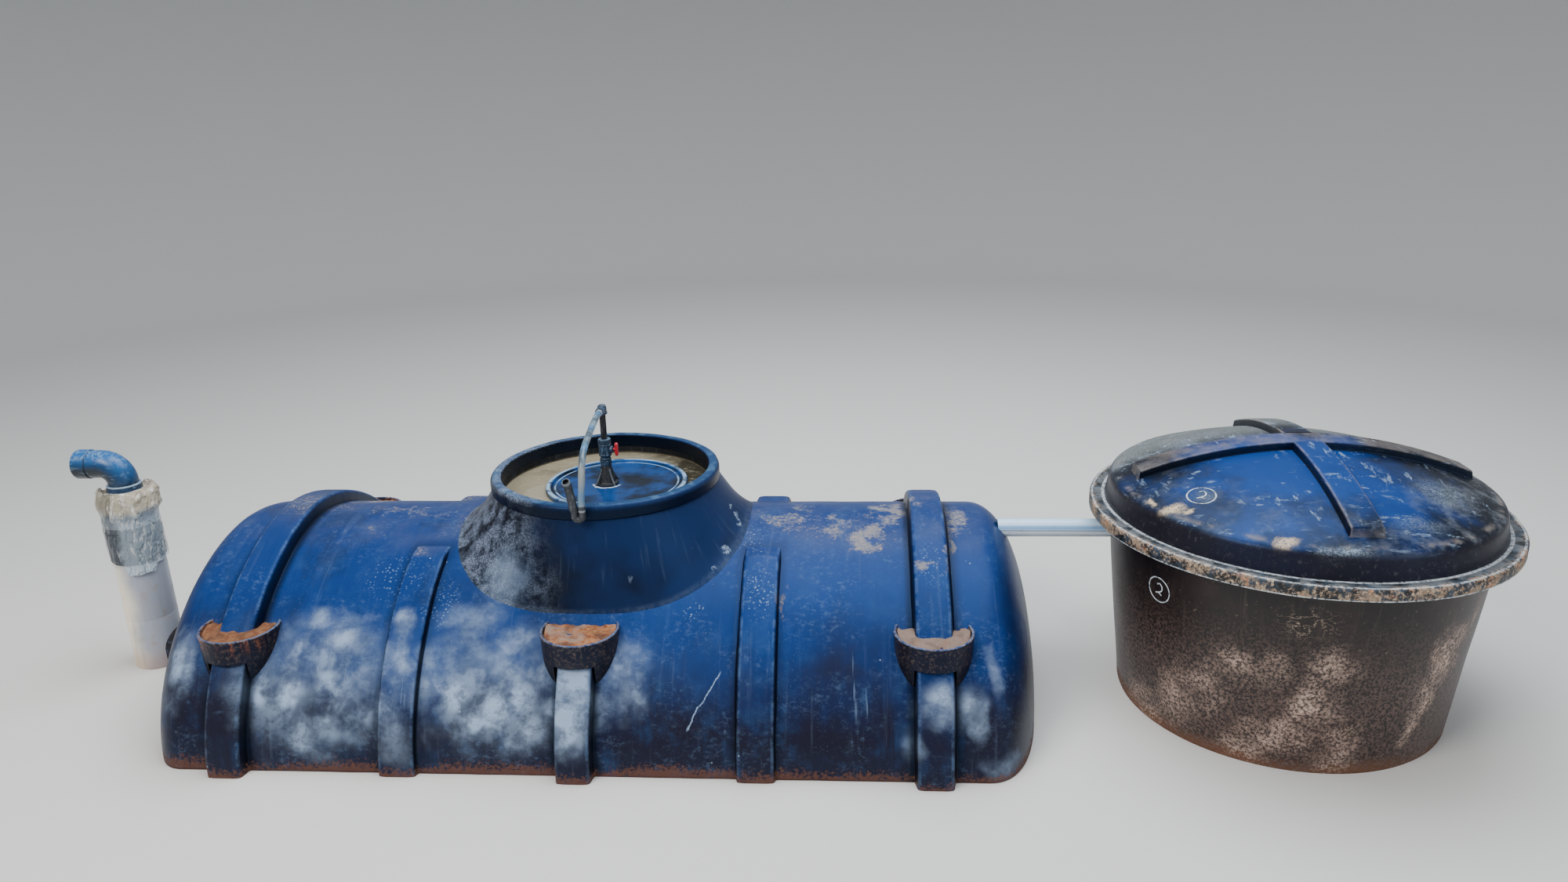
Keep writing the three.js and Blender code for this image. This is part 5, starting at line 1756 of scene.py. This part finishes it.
@dataclass
class GasLine:
    """The gas fittings on the floating lid, the hose and its end fitting."""

    base: float = 0.6823
    ball_z: float = 0.803
    arm_z: float = 0.94215
    front_y: float = -0.402
    tube: float = 0.0105

    def turned(self, name: str, corners: Sequence[Pair], radii: float | Sequence[float],
               finish: Finish, slot: Slot, node: str, turns: int = 48, ribs: float = 0.0) -> None:
        """A turned fitting on the neck's axis.

        Args:
            name: The piece's name.
            corners: Its profile as (radius, height).
            radii: Rounding of the corners.
            finish: Its finish.
            slot: The record's slot.
            node: The node that it stands for.
            turns: Points round it.
            ribs: Depth of twelve grip ribs.
        """
        profile = rounded(corners, radii, 5)
        points = lathe(profile, turns=turns)
        if ribs:
            angle = full_turn(turns)
            low, high = corners[1][1], corners[-2][1]
            inner = smooth(low, low + 0.003, profile[:, 1:]) * smooth(high, high - 0.003, profile[:, 1:])
            factor = 1 - ribs / 0.02 * inner * smooth(0.2, 0.9, np.abs(np.cos(6 * angle)))
            points[..., :2] *= factor[..., None]
        # Pale rings where the profile steps: a painted highlight on the edges, with some wear
        edges = smooth(0.3, 1.0, np.abs(np.gradient(profile[:, 0]))[:, None] * 900)
        wear_and_highlight = np.broadcast_to(edges * 0.5, points.shape[:2])
        settle(Skin().grid(points, around=True, wear_and_highlight=wear_and_highlight).build(name), finish, slot, node)

    def boss(self) -> None:
        """The boss: a flange, a cone and four upright fins with rounded edges."""
        top, ledge = 0.748, self.base + 0.008
        cone = rounded([(0, self.base), (0.038, self.base), (0.038, ledge), (0.029, ledge), (0.017, top),
                        (0, top)], [0, 0.001, 0.003, 0.004, 0.002, 0], 5)
        skin = Skin().grid(lathe(cone, turns=64), around=True)
        outline = rounded([(0.0, self.base + 0.0005), (0.045, self.base + 0.0005), (0.045, self.base + 0.007),
                           (0.03, ledge + 0.02), (0.0185, top - 0.008), (0.0, top - 0.008)],
                          [0, 0.001, 0.004, 0.016, 0.004, 0], 5, closed=True)
        middle = outline.mean(0)
        for quarter in range(4):
            turn = math.pi / 4 + quarter * math.pi / 2
            rows = []
            for across, inset in ((-0.003, 0.0012), (-0.0022, 0.0), (0.0022, 0.0), (0.003, 0.0012)):
                flat = middle + (outline - middle) * (1 - inset / 0.015)
                x = flat[:, 0] * math.cos(turn) - across * math.sin(turn)
                y = flat[:, 0] * math.sin(turn) + across * math.cos(turn)
                rows.append(np.stack([x, y, flat[:, 1]], -1))
            # Pale fin edges: a painted highlight, with some wear
            skin.loft(np.stack(rows), wear_and_highlight=np.array([0.3, 0.9, 0.9, 0.3])[:, None])
        settle(skin.build("boss"), BLACK_TUBE, Slot.DARK, "lid_boss")

    def valve(self) -> None:
        """The ball valve with its side neck, and the lever that turns with the ball."""
        body = rounded([(0, 0.7663), (0.0185, 0.7663), (0.0185, 0.773), (0.0165, 0.7745), (0.0165, 0.779),
                        (0.0215, 0.784), (0.0215, 0.7875), (0.0205, 0.789), (0.0205, 0.817), (0.0215, 0.8185),
                        (0.0215, 0.822), (0.017, 0.8255), (0, 0.8255)],
                       [0, 0.001, 0.001, 0.001, 0.002, 0.002, *[0.0005] * 4, 0.002, 0.001, 0], 5)
        skin = Skin().grid(lathe(body, turns=64), around=True)
        neck = rounded([(0.014, 0.0), (0.014, 0.012), (0.0265, 0.012), (0.0275, 0.0062), (0.0275, 0.0)],
                       [0, 0, 0.0015, 0.001, 0], 5)
        skin.grid(lathe_x(neck, 0.0, self.ball_z, 40), around=True)
        settle(skin.build("ball_valve"), GREY, Slot.VALVE, "valve_body")
        stem = rounded([(0.0278, 0.0), (0.0278, 0.0048), (0.037, 0.0048), (0.037, 0.0)], 0.0003, 3)
        lever = Skin().grid(lathe_x(stem, 0.0, self.ball_z, 28), around=True)
        angle = full_turn(64)[0]
        run = 0.016 * np.sign(np.sin(angle)) * smooth(0.0, 0.3, np.abs(np.sin(angle)))
        y, z = 0.007 * np.cos(angle), 0.007 * np.sin(angle) + run
        steps = ((0.034, 0.86), (0.0347, 0.96), (0.0365, 1.0), (0.0415, 1.0), (0.0433, 0.95), (0.044, 0.84))
        rows = [np.stack([np.full(64, x), y * k, self.ball_z + z * k], -1) for x, k in steps]
        # Pale lever edges: a painted highlight, with some wear
        lever.loft(np.stack(rows), wear_and_highlight=np.array([0.1, 0.5, 0.0, 0.0, 0.6, 0.2])[:, None])
        settle(lever.build("lever"), RED, Slot.RED, "valve_handle", body=Body.HANDLE)

    def fittings(self) -> None:
        """The hexagon socket, valve, union nut, riser tube and top elbow."""
        socket = [(0, 0.7483), (0.019, 0.7483), (0.02, 0.7495), (0.02, 0.765), (0.0188, 0.766), (0, 0.766)]
        self.turned("hex_socket", socket, 0.0, GREY, Slot.VALVE, "lid_socket", 6)
        self.valve()
        nut = [(0, 0.8263), (0.0212, 0.8263), (0.022, 0.829), (0.022, 0.8375), (0.0205, 0.84), (0, 0.84)]
        rounding = [0, 0.001, 0.001, 0.001, 0.001, 0]
        self.turned("union_nut", nut, rounding, GREY, Slot.VALVE, "valve_union_ring", 96, 0.0014)
        riser = [(0, 0.8403), (self.tube, 0.8403), (self.tube, 0.926), (0, 0.926)]
        self.turned("gas_tube", riser, 0.0002, BLACK_TUBE, Slot.DARK, "gas_riser", 32)
        body = [(0, 0.9263), (0.017, 0.9263), (0.017, 0.9335), (0.0152, 0.9345), (0.0152, 0.95),
                (0.011, 0.958), (0, 0.958)]
        body = lathe(rounded(body, [0, 0.001, 0.001, 0.001, 0.004, 0.004, 0], 6), turns=48)
        skin = Skin().grid(body, around=True)
        arm = [(0.0, 0.0), (0.0, 0.013), (0.026, 0.013), (0.027, 0.015), (0.04, 0.015), (0.04, 0.0)]
        turned = lathe_x(rounded(arm, [0, 0, 0.001, 0.001, 0.001, 0], 4), 0.0, self.arm_z, 40)
        skin.grid(np.stack([turned[..., 1], -turned[..., 0], turned[..., 2]], -1), around=True)
        settle(skin.build("top_elbow"), GREY, Slot.VALVE, "gas_elbow")

    def hose(self) -> None:
        """The clear hose: out of the elbow's arm, down to the rim, over it and down in front of
        it into its end fitting. Four bluish wraps sit on it."""
        z = self.arm_z
        route = [(0, -0.0403, z), (0, -0.07, z), (0.002, -0.12, 0.9385), (0.005, -0.18, 0.9325),
                 (0.009, -0.24, 0.926), (0.013, -0.3, 0.919), (0.0165, -0.345, 0.91), (0.0185, -0.374, 0.895),
                 (0.019, -0.392, 0.87), (0.0185, -0.4, 0.84), (0.015, -0.4025, 0.803),
                 (0.012, self.front_y, 0.768), (0.012, self.front_y, 0.738)]
        line = through(route, 220)
        way = np.linspace(0, 1, len(line))
        wraps = ((0.06, 0.04), (0.3, 0.03), (0.58, 0.045), (0.9, 0.07))
        blue = sum(np.exp(-(((way - at) / wide) ** 2)) for at, wide in wraps)
        radii = self.tube * (1 - 0.05 * np.clip(blue, 0, 1) * np.sin(way * 400) ** 2)
        tube = carried(line, radii, (1, 0, 0), 28)
        piece = Skin().loft(tube, wear_and_highlight=np.clip(blue, 0, 1)[:, None]).build("hose", crease=50)
        settle(piece, ClearHose("hose_clear"), Slot.CLEAR, "gas_hose")
        stub, rings = self.end_fitting(), self.belts(line)
        exit_at = tuple(line[0] + NECK)
        (line + NECK).tolist()

    def end_fitting(self) -> Piece:
        """The black end fitting: a return bend whose open stub leans forward at its top, carried
        from the hose's end round a half circle, up to the mouth and back down its bore.

        Returns:
            The piece.
        """
        half, low = 0.012, 0.7237
        angle = np.linspace(0, math.pi, 22)
        bend = np.stack([half * np.cos(angle), np.full(22, self.front_y), low - half * np.sin(angle)], -1)
        start = np.array([[half, self.front_y, 0.7377], [half, self.front_y, 0.731]])
        mouth = np.array([-0.026, self.front_y, 0.84])
        foot = np.array([-0.0125, self.front_y, 0.734])
        rise = foot + (mouth - foot) * np.linspace(0, 1, 24)[:, None]
        rise[:, 1] -= 0.016 * (np.clip(np.linspace(-1.5, 1.0, 24), 0, 1) ** 2)
        path = np.concatenate([start, bend, rise])
        lean = (path[-1] - path[-2]) / np.linalg.norm(path[-1] - path[-2])
        bore = path[-1] - lean * np.array([0.0, 0.002, 0.008, 0.012])[:, None]
        centres = np.concatenate([path, bore])
        tangents = np.concatenate([np.gradient(path, axis=0), np.tile(lean, (4, 1))])
        flare = self.tube + 0.0024 * smooth(0.0, 0.012, np.arange(23) / 23 * 0.1)
        radii = np.concatenate([np.full(24, self.tube), flare,
                                [self.tube + 0.0014, 0.0096, 0.009, 0.0086, 0.008]])
        # Painted shade down the bore, and a painted highlight round the mouth's lip
        dark = np.concatenate([np.zeros(len(path)), [0.6, 1.0, 1.0, 1.0]])[:, None]
        lit = np.concatenate([np.zeros(len(path) - 2), [0.7, 0.9], np.zeros(4)])[:, None]
        tube = carried(centres, radii, (0, 1, 0), 32, tangents)
        piece = Skin().loft(tube, lit, dark).build("end_fitting", crease=40)
        return settle(piece, STUB, Slot.DARK, "hose_return")

    def belts(self, line: Array) -> list[Piece]:
        """The clamp at the hose's start and the black ring at its end.

        Args:
            line: The hose's middle line.

        Returns:
            The two pieces.
        """
        rings = []
        for at, finish, wide in ((0.012, CLAMP, 0.0115), (0.975, BLACK_TUBE, 0.0118)):
            k = int(at * (len(line) - 1))
            way = line[k + 3] - line[k - 2]
            centres = line[k - 2] + np.linspace(0, 1, 5)[:, None] * way
            belt = carried(centres, np.array([0.0106, wide, wide, wide, 0.0106]), (1, 0, 0), 36,
                           np.tile(way, (5, 1)))
            ring = Skin().loft(belt, wear_and_highlight=0.3).build(f"hose_belt_{len(rings) + 1}", crease=40)
            rings.append(settle(ring, finish, Slot.DARK))
        return rings

    def build(self) -> None:
        """Makes the gas line's pieces in order."""
        self.hose()
        self.boss()
        self.fittings()


@dataclass
class Inlet:
    """The inlet: foot link, riser, coupling, reducer under a tied film, and the pouring elbow."""

    x: float = INLET_X
    pipe: float = 0.0825
    wall: float = 0.005

    def tube(self, name: str, corners: Sequence[Pair], radii: float | Sequence[float], finish: Finish,
             slot: Slot, *nodes: str, shade: float = 0.0) -> None:
        """A closed turned piece on the inlet's axis.

        Args:
            name: The piece's name.
            corners: Its profile as (radius, height).
            radii: Rounding of the corners.
            finish: Its finish.
            slot: The record's slot.
            *nodes: The nodes that it stands for.
            shade: How much painted shade it gets.
        """
        points = lathe(rounded(corners, radii, 5, closed=True), (self.x, 0.0), 96)
        points = points + 0.0006 * ripple(points, 0.2, 12)[..., None] * np.array([1.0, 1.0, 0.0])
        settle(Skin().grid(points, True, True, shade=shade).build(name), finish, slot, *nodes)

    def foot(self) -> None:
        """The link at the ground: an upright white collar and an arched arm into the tank's end."""
        collar = [(0.07, 0.0), (0.0829, 0.0), (0.0829, 0.19), (0.07, 0.19)]
        self.tube("foot_collar", collar, 0.0005, WHITE, Slot.WHITE)
        angle = np.linspace(0, math.pi, 33)
        y = np.concatenate([[0.095], 0.095 * np.cos(angle), [-0.095]])
        z = np.concatenate([[0.0], 0.095 + 0.095 * np.sin(angle), [0.0]])
        x = np.linspace(self.x + 0.045, -1.395, 16)[:, None]
        ring = 0.58 + 0.42 * smooth(self.x + 0.05, self.x + 0.2, x)
        height = z[None, :] * (0.46 + 0.34 * ring)
        skin = Skin().loft(np.stack(np.broadcast_arrays(x, y[None, :] * ring, height), -1))
        settle(skin.build("foot_link", crease=40), FOOT, Slot.DARK, "inlet_foot")

    def film(self) -> None:
        """The tied film: a sleeve whose radius follows the reducer, with upright pleats that are
        deepest at its gathered top, a ragged collar and a rounded flap at its lower right.

        The sleeve runs from the elbow's neck out to the collar (share 0 to 0.25) and down to its
        foot; r = r0(s) + pleats(a, s), z = z0(s) + frill(a)·collar(s) - flap(a)·s³."""
        a = full_turn(260)
        s = np.linspace(0, 1, 90)[:, None]
        keys = [0.0, 0.1, 0.19, 0.26, 0.36, 0.52, 0.66, 0.8, 1.0]
        r0 = np.interp(s, keys, [0.057, 0.072, 0.083, 0.09, 0.0945, 0.089, 0.0915, 0.092, 0.0915])
        z0 = np.interp(s, keys, [0.664, 0.659, 0.665, 0.652, 0.608, 0.572, 0.525, 0.475, 0.402])
        collar = smooth(0.05, 0.2, s) * smooth(0.5, 0.4, s)
        pleats = 0.45 * np.sin(5 * a + 0.7 + 2 * s) + 0.35 * np.sin(11 * a + 2.1 + 5 * s)
        pleats = pleats + 0.22 * np.sin(19 * a + 1.3 - 7 * s)
        pleats = pleats * (0.0015 + 0.009 * collar) + collar * (0.002 + 0.012 * np.cos(a + 0.4))
        frill = 0.007 * np.sin(2 * a + 0.9) + 0.006 * np.sin(5 * a + 2.0) + 0.004 * np.sin(11 * a + 0.4)
        facing = np.abs(np.angle(np.exp(1j * (a + 0.95))))
        flap = 0.03 * smooth(0.62, 0.42, facing)
        z = z0 + frill * collar - flap * s**3 + 0.002 * np.sin(7 * a) * s
        points = np.stack([self.x + (r0 + pleats) * np.cos(a), (r0 + pleats) * np.sin(a), z + 0 * a], -1)
        points = points + 0.0026 * ripple(points, 0.06, 15)[..., None] * (0.25 + collar[..., None])
        film = Skin().grid(points, around=True).build("film", inside=(self.x, 0.0, 0.5), crease=180)
        settle(film, ClearFilm("film_clear"), Slot.CLEAR, "inlet_wrap")

    def elbow(self) -> None:
        """The pouring elbow: a tube carried up, round a quarter circle and out to the left, with
        wider sockets at both ends, and its bore carried back inside."""
        turn, turn_z, mouth = 0.066, 0.753, -1.848
        angle = np.linspace(0, math.pi / 2, 30)
        up = np.stack([np.full(14, self.x), np.zeros(14), np.linspace(0.6563, turn_z - turn - 0.001, 14)], -1)
        across, rise = turn * np.cos(angle), turn * np.sin(angle)
        bend = np.stack([self.x - turn + across, np.zeros(30), turn_z - turn + rise], -1)
        out = np.stack([np.linspace(self.x - turn - 0.001, mouth, 22), np.zeros(22), np.full(22, turn_z)], -1)
        path = np.concatenate([up, bend, out])
        tangents = np.gradient(path, axis=0)
        way = np.concatenate([[0.0], np.cumsum(np.linalg.norm(np.diff(path, axis=0), axis=1))])
        socket = smooth(0.0275, 0.0255, way)
        mouth_socket = smooth(way[-1] - 0.048, way[-1] - 0.046, way)
        groove = np.exp(-(((way - 0.0285) / 0.0012) ** 2)) + np.exp(-(((way - way[-1] + 0.0495) / 0.0012) ** 2))
        lip = np.exp(-(((way - 0.004) / 0.003) ** 2)) * 0.0008
        radii = 0.0485 + 0.0065 * socket + 0.0025 * mouth_socket - 0.0012 * groove + lip
        radii[0] -= 0.0012
        radii[-1] -= 0.0014
        bore = np.where(way[::-1] > way[-1] - 0.044, 0.0465, 0.045)
        centres = np.concatenate([path, path[::-1]])
        tangents = np.concatenate([tangents, tangents[::-1]])
        tube = carried(centres, np.concatenate([radii, bore]), (0, 1, 0), 72, tangents)
        worn = np.concatenate([0.9 * np.exp(-(((way - 0.0255) / 0.0015) ** 2)), 0 * way])[:, None]
        # Dark grooves at the sockets, and painted shade inside the bore
        dark = np.concatenate([np.clip(groove, 0, 1), 0.75 + 0 * way])[:, None]
        skin = Skin().grid(tube, along=True, around=True, wear_and_highlight=worn, shade=dark)
        settle(skin.build("pour_elbow", crease=40), BLUE, Slot.BLUE, "inlet_elbow")

    def build(self) -> None:
        """Makes the inlet's pieces in order."""
        self.foot()
        bore = self.pipe - self.wall
        riser = [(bore, 0.1903), (self.pipe, 0.1903), (self.pipe, 0.4047), (bore, 0.4047)]
        self.tube("riser_pipe", riser, 0.001, WHITE, Slot.WHITE, "inlet_pipe")
        coupling = [(bore, 0.405), (0.085, 0.405), (0.088, 0.409), (0.088, 0.514), (0.0855, 0.519),
                    (bore, 0.519)]
        rounding = [0.001, 0.002, 0.002, 0.003, 0.002, 0.001]
        self.tube("coupling", coupling, rounding, REDUCER, Slot.WHITE, "inlet_coupling")
        reducer = [(0.045, 0.5195), (0.084, 0.5195), (0.084, 0.548), (0.066, 0.6), (0.054, 0.622),
                   (0.054, 0.6558), (0.045, 0.6558)]
        rounding = [0.001, 0.002, 0.01, 0.012, 0.008, 0.001, 0.001]
        self.tube("reducer", reducer, rounding, REDUCER, Slot.WHITE)
        self.film()
        self.elbow()


@dataclass
class Slurry:
    """The round slurry tank: wall, flange and domed lid with its raised cross."""

    at: Pair = (2.222, -0.102)
    foot: float = 0.501
    top: float = 0.565
    height: float = 0.639
    wall: float = 0.012
    cover_foot: float = 0.58
    shoulder: float = 0.568
    shoulder_z: float = 0.712
    apex: float = 0.848
    arm_half: float = 0.047
    arm_reach: float = 0.504
    arm_rise: float = 0.026
    chalk_size: float = 0.04
    chalk_middle: Pair = (-0.3694, -0.2454)
    chalk_across: Pair = (0.897, -0.443)
    chalk_up: Pair = (0.252, 0.967)
    chalk_height: float = 0.479
    chalk_bearing: float = -2.6217

    def dome(self, radius: Array) -> Array:
        """The lid's height at a radius: shoulder + rise·(1 - (r/R)²)."""
        start = self.shoulder_z + 0.018
        return start + (self.apex - start) * (1 - np.clip(radius / (self.shoulder - 0.018), 0, 1) ** 2)

    def drum(self) -> None:
        """The tapered wall as one closed ring."""
        rise = np.linspace(0, self.height - 0.0003, 40)
        outer = self.foot + (self.top - self.foot) * rise / self.height
        profile = np.concatenate([np.stack([outer, rise], -1), np.stack([outer - self.wall, rise], -1)[::-1]])
        points = lathe(profile, self.at, 200)
        swell = 0.0015 * ripple(points, 0.5, 21)
        points[..., 0] += swell
        piece = Skin().grid(points, True, True).build("slurry_drum", crease=40)
        settle(piece, SlurryBlack("slurry_black", self.at), Slot.SLURRY,
               *(f"slurry_wall_{i}" for i in range(1, 5)))

    def flange(self) -> None:
        """The rolled flange: a plate with its lip turned down, a little uneven."""
        upper = self.height + 0.012
        corners = [(0.553, self.height), (0.616, self.height), (0.616, upper - 0.038), (0.628, upper - 0.038),
                   (0.628, upper), (0.553, upper)]
        profile = rounded(corners, [0.001, 0.006, 0.003, 0.004, 0.009, 0.001], 7, closed=True)
        points = lathe(profile, self.at, 260)
        wave = ripple(points * np.array([1, 1, 0]), 0.35, 17)
        radius = np.hypot(points[..., 0] - self.at[0], points[..., 1] - self.at[1])
        points[..., 2] += 0.0012 * wave * smooth(0.585, 0.62, radius) - 0.0006
        piece = Skin().grid(points, True, True).build("slurry_flange", crease=50)
        settle(piece, Flange("flange_soiled", self.at), Slot.SLURRY, "slurry_rim")

    def cover(self) -> None:
        """The domed lid as a closed shell."""
        base = self.height + 0.0123
        r = np.linspace(0, self.shoulder - 0.016, 60)
        corners = [(self.shoulder - 0.016, self.shoulder_z + 0.018), (self.shoulder, self.shoulder_z + 0.006),
                   (self.cover_foot - 0.002, base + 0.01), (self.cover_foot, base)]
        side = rounded(corners, [0, 0.014, 0.012, 0], 7)
        outer = np.concatenate([np.stack([r, self.dome(r)], -1), side])
        inner = np.stack([np.maximum(outer[:, 0] - 0.008, 0), np.maximum(outer[:, 1] - 0.008, base)], -1)
        inner[-1, 1] = base
        points = lathe(np.concatenate([outer, inner[::-1]]), self.at, 240)
        piece = Skin().grid(points, around=True).build("slurry_cover", crease=50)
        settle(piece, self.cover_finish(), Slot.BLACK, "slurry_lid", body=Body.LID)

    def cover_finish(self) -> CoverBlack:
        """The finish that the lid and its cross share."""
        return CoverBlack("cover_black", self.at)

    def cross(self) -> None:
        """The raised arms on the lid: each is a rounded hump across its width that follows the
        dome along its length and falls off steeply at its ends; the short arms start inside the
        long one's sides."""
        skin = Skin()
        half, rise, reach = self.arm_half, self.arm_rise, self.arm_reach
        corners = [(half - 0.002, rise), (half, 0.001), (half + 0.008, -0.004)]
        outline = hump(corners, [0.006, 0.004, 0.0], rise, half * 0.7)
        across, up = outline[:, 0][None, :], outline[:, 1][None, :]
        corner = np.hypot(np.abs(across) - half + 0.003, up - rise + 0.001)
        # Painted shade on the arms' side faces
        side = smooth(rise * 0.97, rise * 0.72, up) * (np.abs(across) > half - 0.006)
        for axis, start, stop in (("x", -reach, reach), ("y", 0.0465, reach), ("y", -0.0465, -reach)):
            far = math.copysign(1.0, stop)
            tip = stop - far * np.linspace(0.009, -0.001, 9)
            along = np.concatenate([np.linspace(start, stop - far * 0.01, 60), tip])
            if axis == "x":
                along = np.concatenate([start + np.linspace(-0.001, 0.009, 9), along[1:]])
            begin = smooth(-reach - 0.001, -reach + 0.005, along) if axis == "x" else 1.0
            ends = begin * smooth(reach + 0.001, reach - 0.005, np.abs(along))
            lengthwise, sideways = np.broadcast_arrays(along[:, None], across)
            z = self.dome(np.hypot(lengthwise, sideways)) + np.where(up > 0, up * ends[:, None], up)
            plan = (lengthwise, sideways) if axis == "x" else (sideways, lengthwise)
            points = np.stack([self.at[0] + plan[0], self.at[1] + plan[1], z], -1)
            tips = (smooth(0.0, 0.5, 1 - ends) * 0.6)[:, None]
            wear_and_highlight = np.maximum(smooth(0.006, 0.002, corner) * np.ones_like(z), tips)
            if axis == "x":
                wear_and_highlight = np.maximum(wear_and_highlight, 0.75 * (up > 0.8 * rise))
            skin.loft(points, wear_and_highlight, side * ends[:, None])
        settle(skin.build("cover_cross", crease=46), self.cover_finish(), Slot.BLACK, body=Body.LID)

    def chalk(self) -> None:
        """A figure two in a ring, chalked on the lid and on the wall: each stroke is a flat strip
        on the surface, drawn in a square one unit to each side that is then laid on the piece."""
        turn = np.linspace(1.75, 7.95, 72)
        ring = np.stack([1.02 * np.cos(turn), np.sin(turn)], -1)
        two = through([(-0.15, 0.42, 0), (0.08, 0.55, 0), (0.32, 0.32, 0), (0.28, 0.0, 0), (0.02, -0.2, 0),
                       (-0.32, -0.32, 0), (0.0, -0.26, 0), (0.26, -0.42, 0)], 48)[:, :2]
        on_lid, on_wall = Skin(), Skin()
        for stroke in (ring, two):
            u, v = self.chalk_size * stroke.T
            x, y = (middle + across * u + up * v for middle, across, up
                    in zip(self.chalk_middle, self.chalk_across, self.chalk_up))
            line = np.stack([self.at[0] + x, self.at[1] + y, self.dome(np.hypot(x, y)) + 0.0003], -1)
            on_lid.loft(carried(line, 0.0006, (0, 0, 1), 8, flat=3.4))
            z = self.chalk_height + v
            radius = self.foot + (self.top - self.foot) * z / self.height
            angle = self.chalk_bearing + u / radius
            line = np.stack([self.at[0] + radius * np.cos(angle), self.at[1] + radius * np.sin(angle), z], -1)
            line[:, 0] += 0.0015 * ripple(line, 0.5, 21)
            outwards = (math.cos(self.chalk_bearing), math.sin(self.chalk_bearing), 0)
            on_wall.loft(carried(line, 0.0006, outwards, 8, flat=3.4))
        chalk = Chalk("chalk")
        settle(on_lid.build("chalk_on_lid"), chalk, Slot.BLACK, body=Body.LID)
        settle(on_wall.build("chalk_on_wall"), chalk, Slot.SLURRY)

    def build(self) -> None:
        """Makes the slurry tank's pieces in order, and dresses its floor."""
        self.drum()
        self.flange()
        self.cover()
        self.cross()
        self.chalk()
        dress_node("slurry_floor", SlurryBlack("slurry_black", self.at))


@dataclass
class Outlet:
    """The outlet pipe between the tank's right end and the slurry tank."""

    radius: float = 0.03
    bore: float = 0.026
    z: float = 0.525
    from_x: float = 1.306
    to_x: float = 1.698

    def build(self) -> None:
        """Makes the pipe as a closed tube."""
        corners = [(self.from_x, self.bore), (self.from_x, self.radius), (self.to_x, self.radius),
                   (self.to_x, self.bore)]
        profile = rounded(corners, 0.0005, 3, closed=True)
        piece = Skin().grid(lathe_x(profile, 0.0, self.z, 64), True, True).build("outlet_tube")
        settle(piece, OutletPipe("outlet_lined", self.z, self.radius), Slot.BLUE, "outlet_pipe")


def main() -> None:
    """Builds the camera, the studio and the plant's sub-assemblies in order."""
    logging.basicConfig(level=logging.INFO, format="%(message)s")
    Camera().build()
    gas = GasLine()
    gas.build()
    Studio().build()
    tank = Tank()
    tank.build()
    Neck(tank).build()
    Inlet().build()
    Outlet().build()
    Slurry().build()


if __name__ == "__main__":
    main()
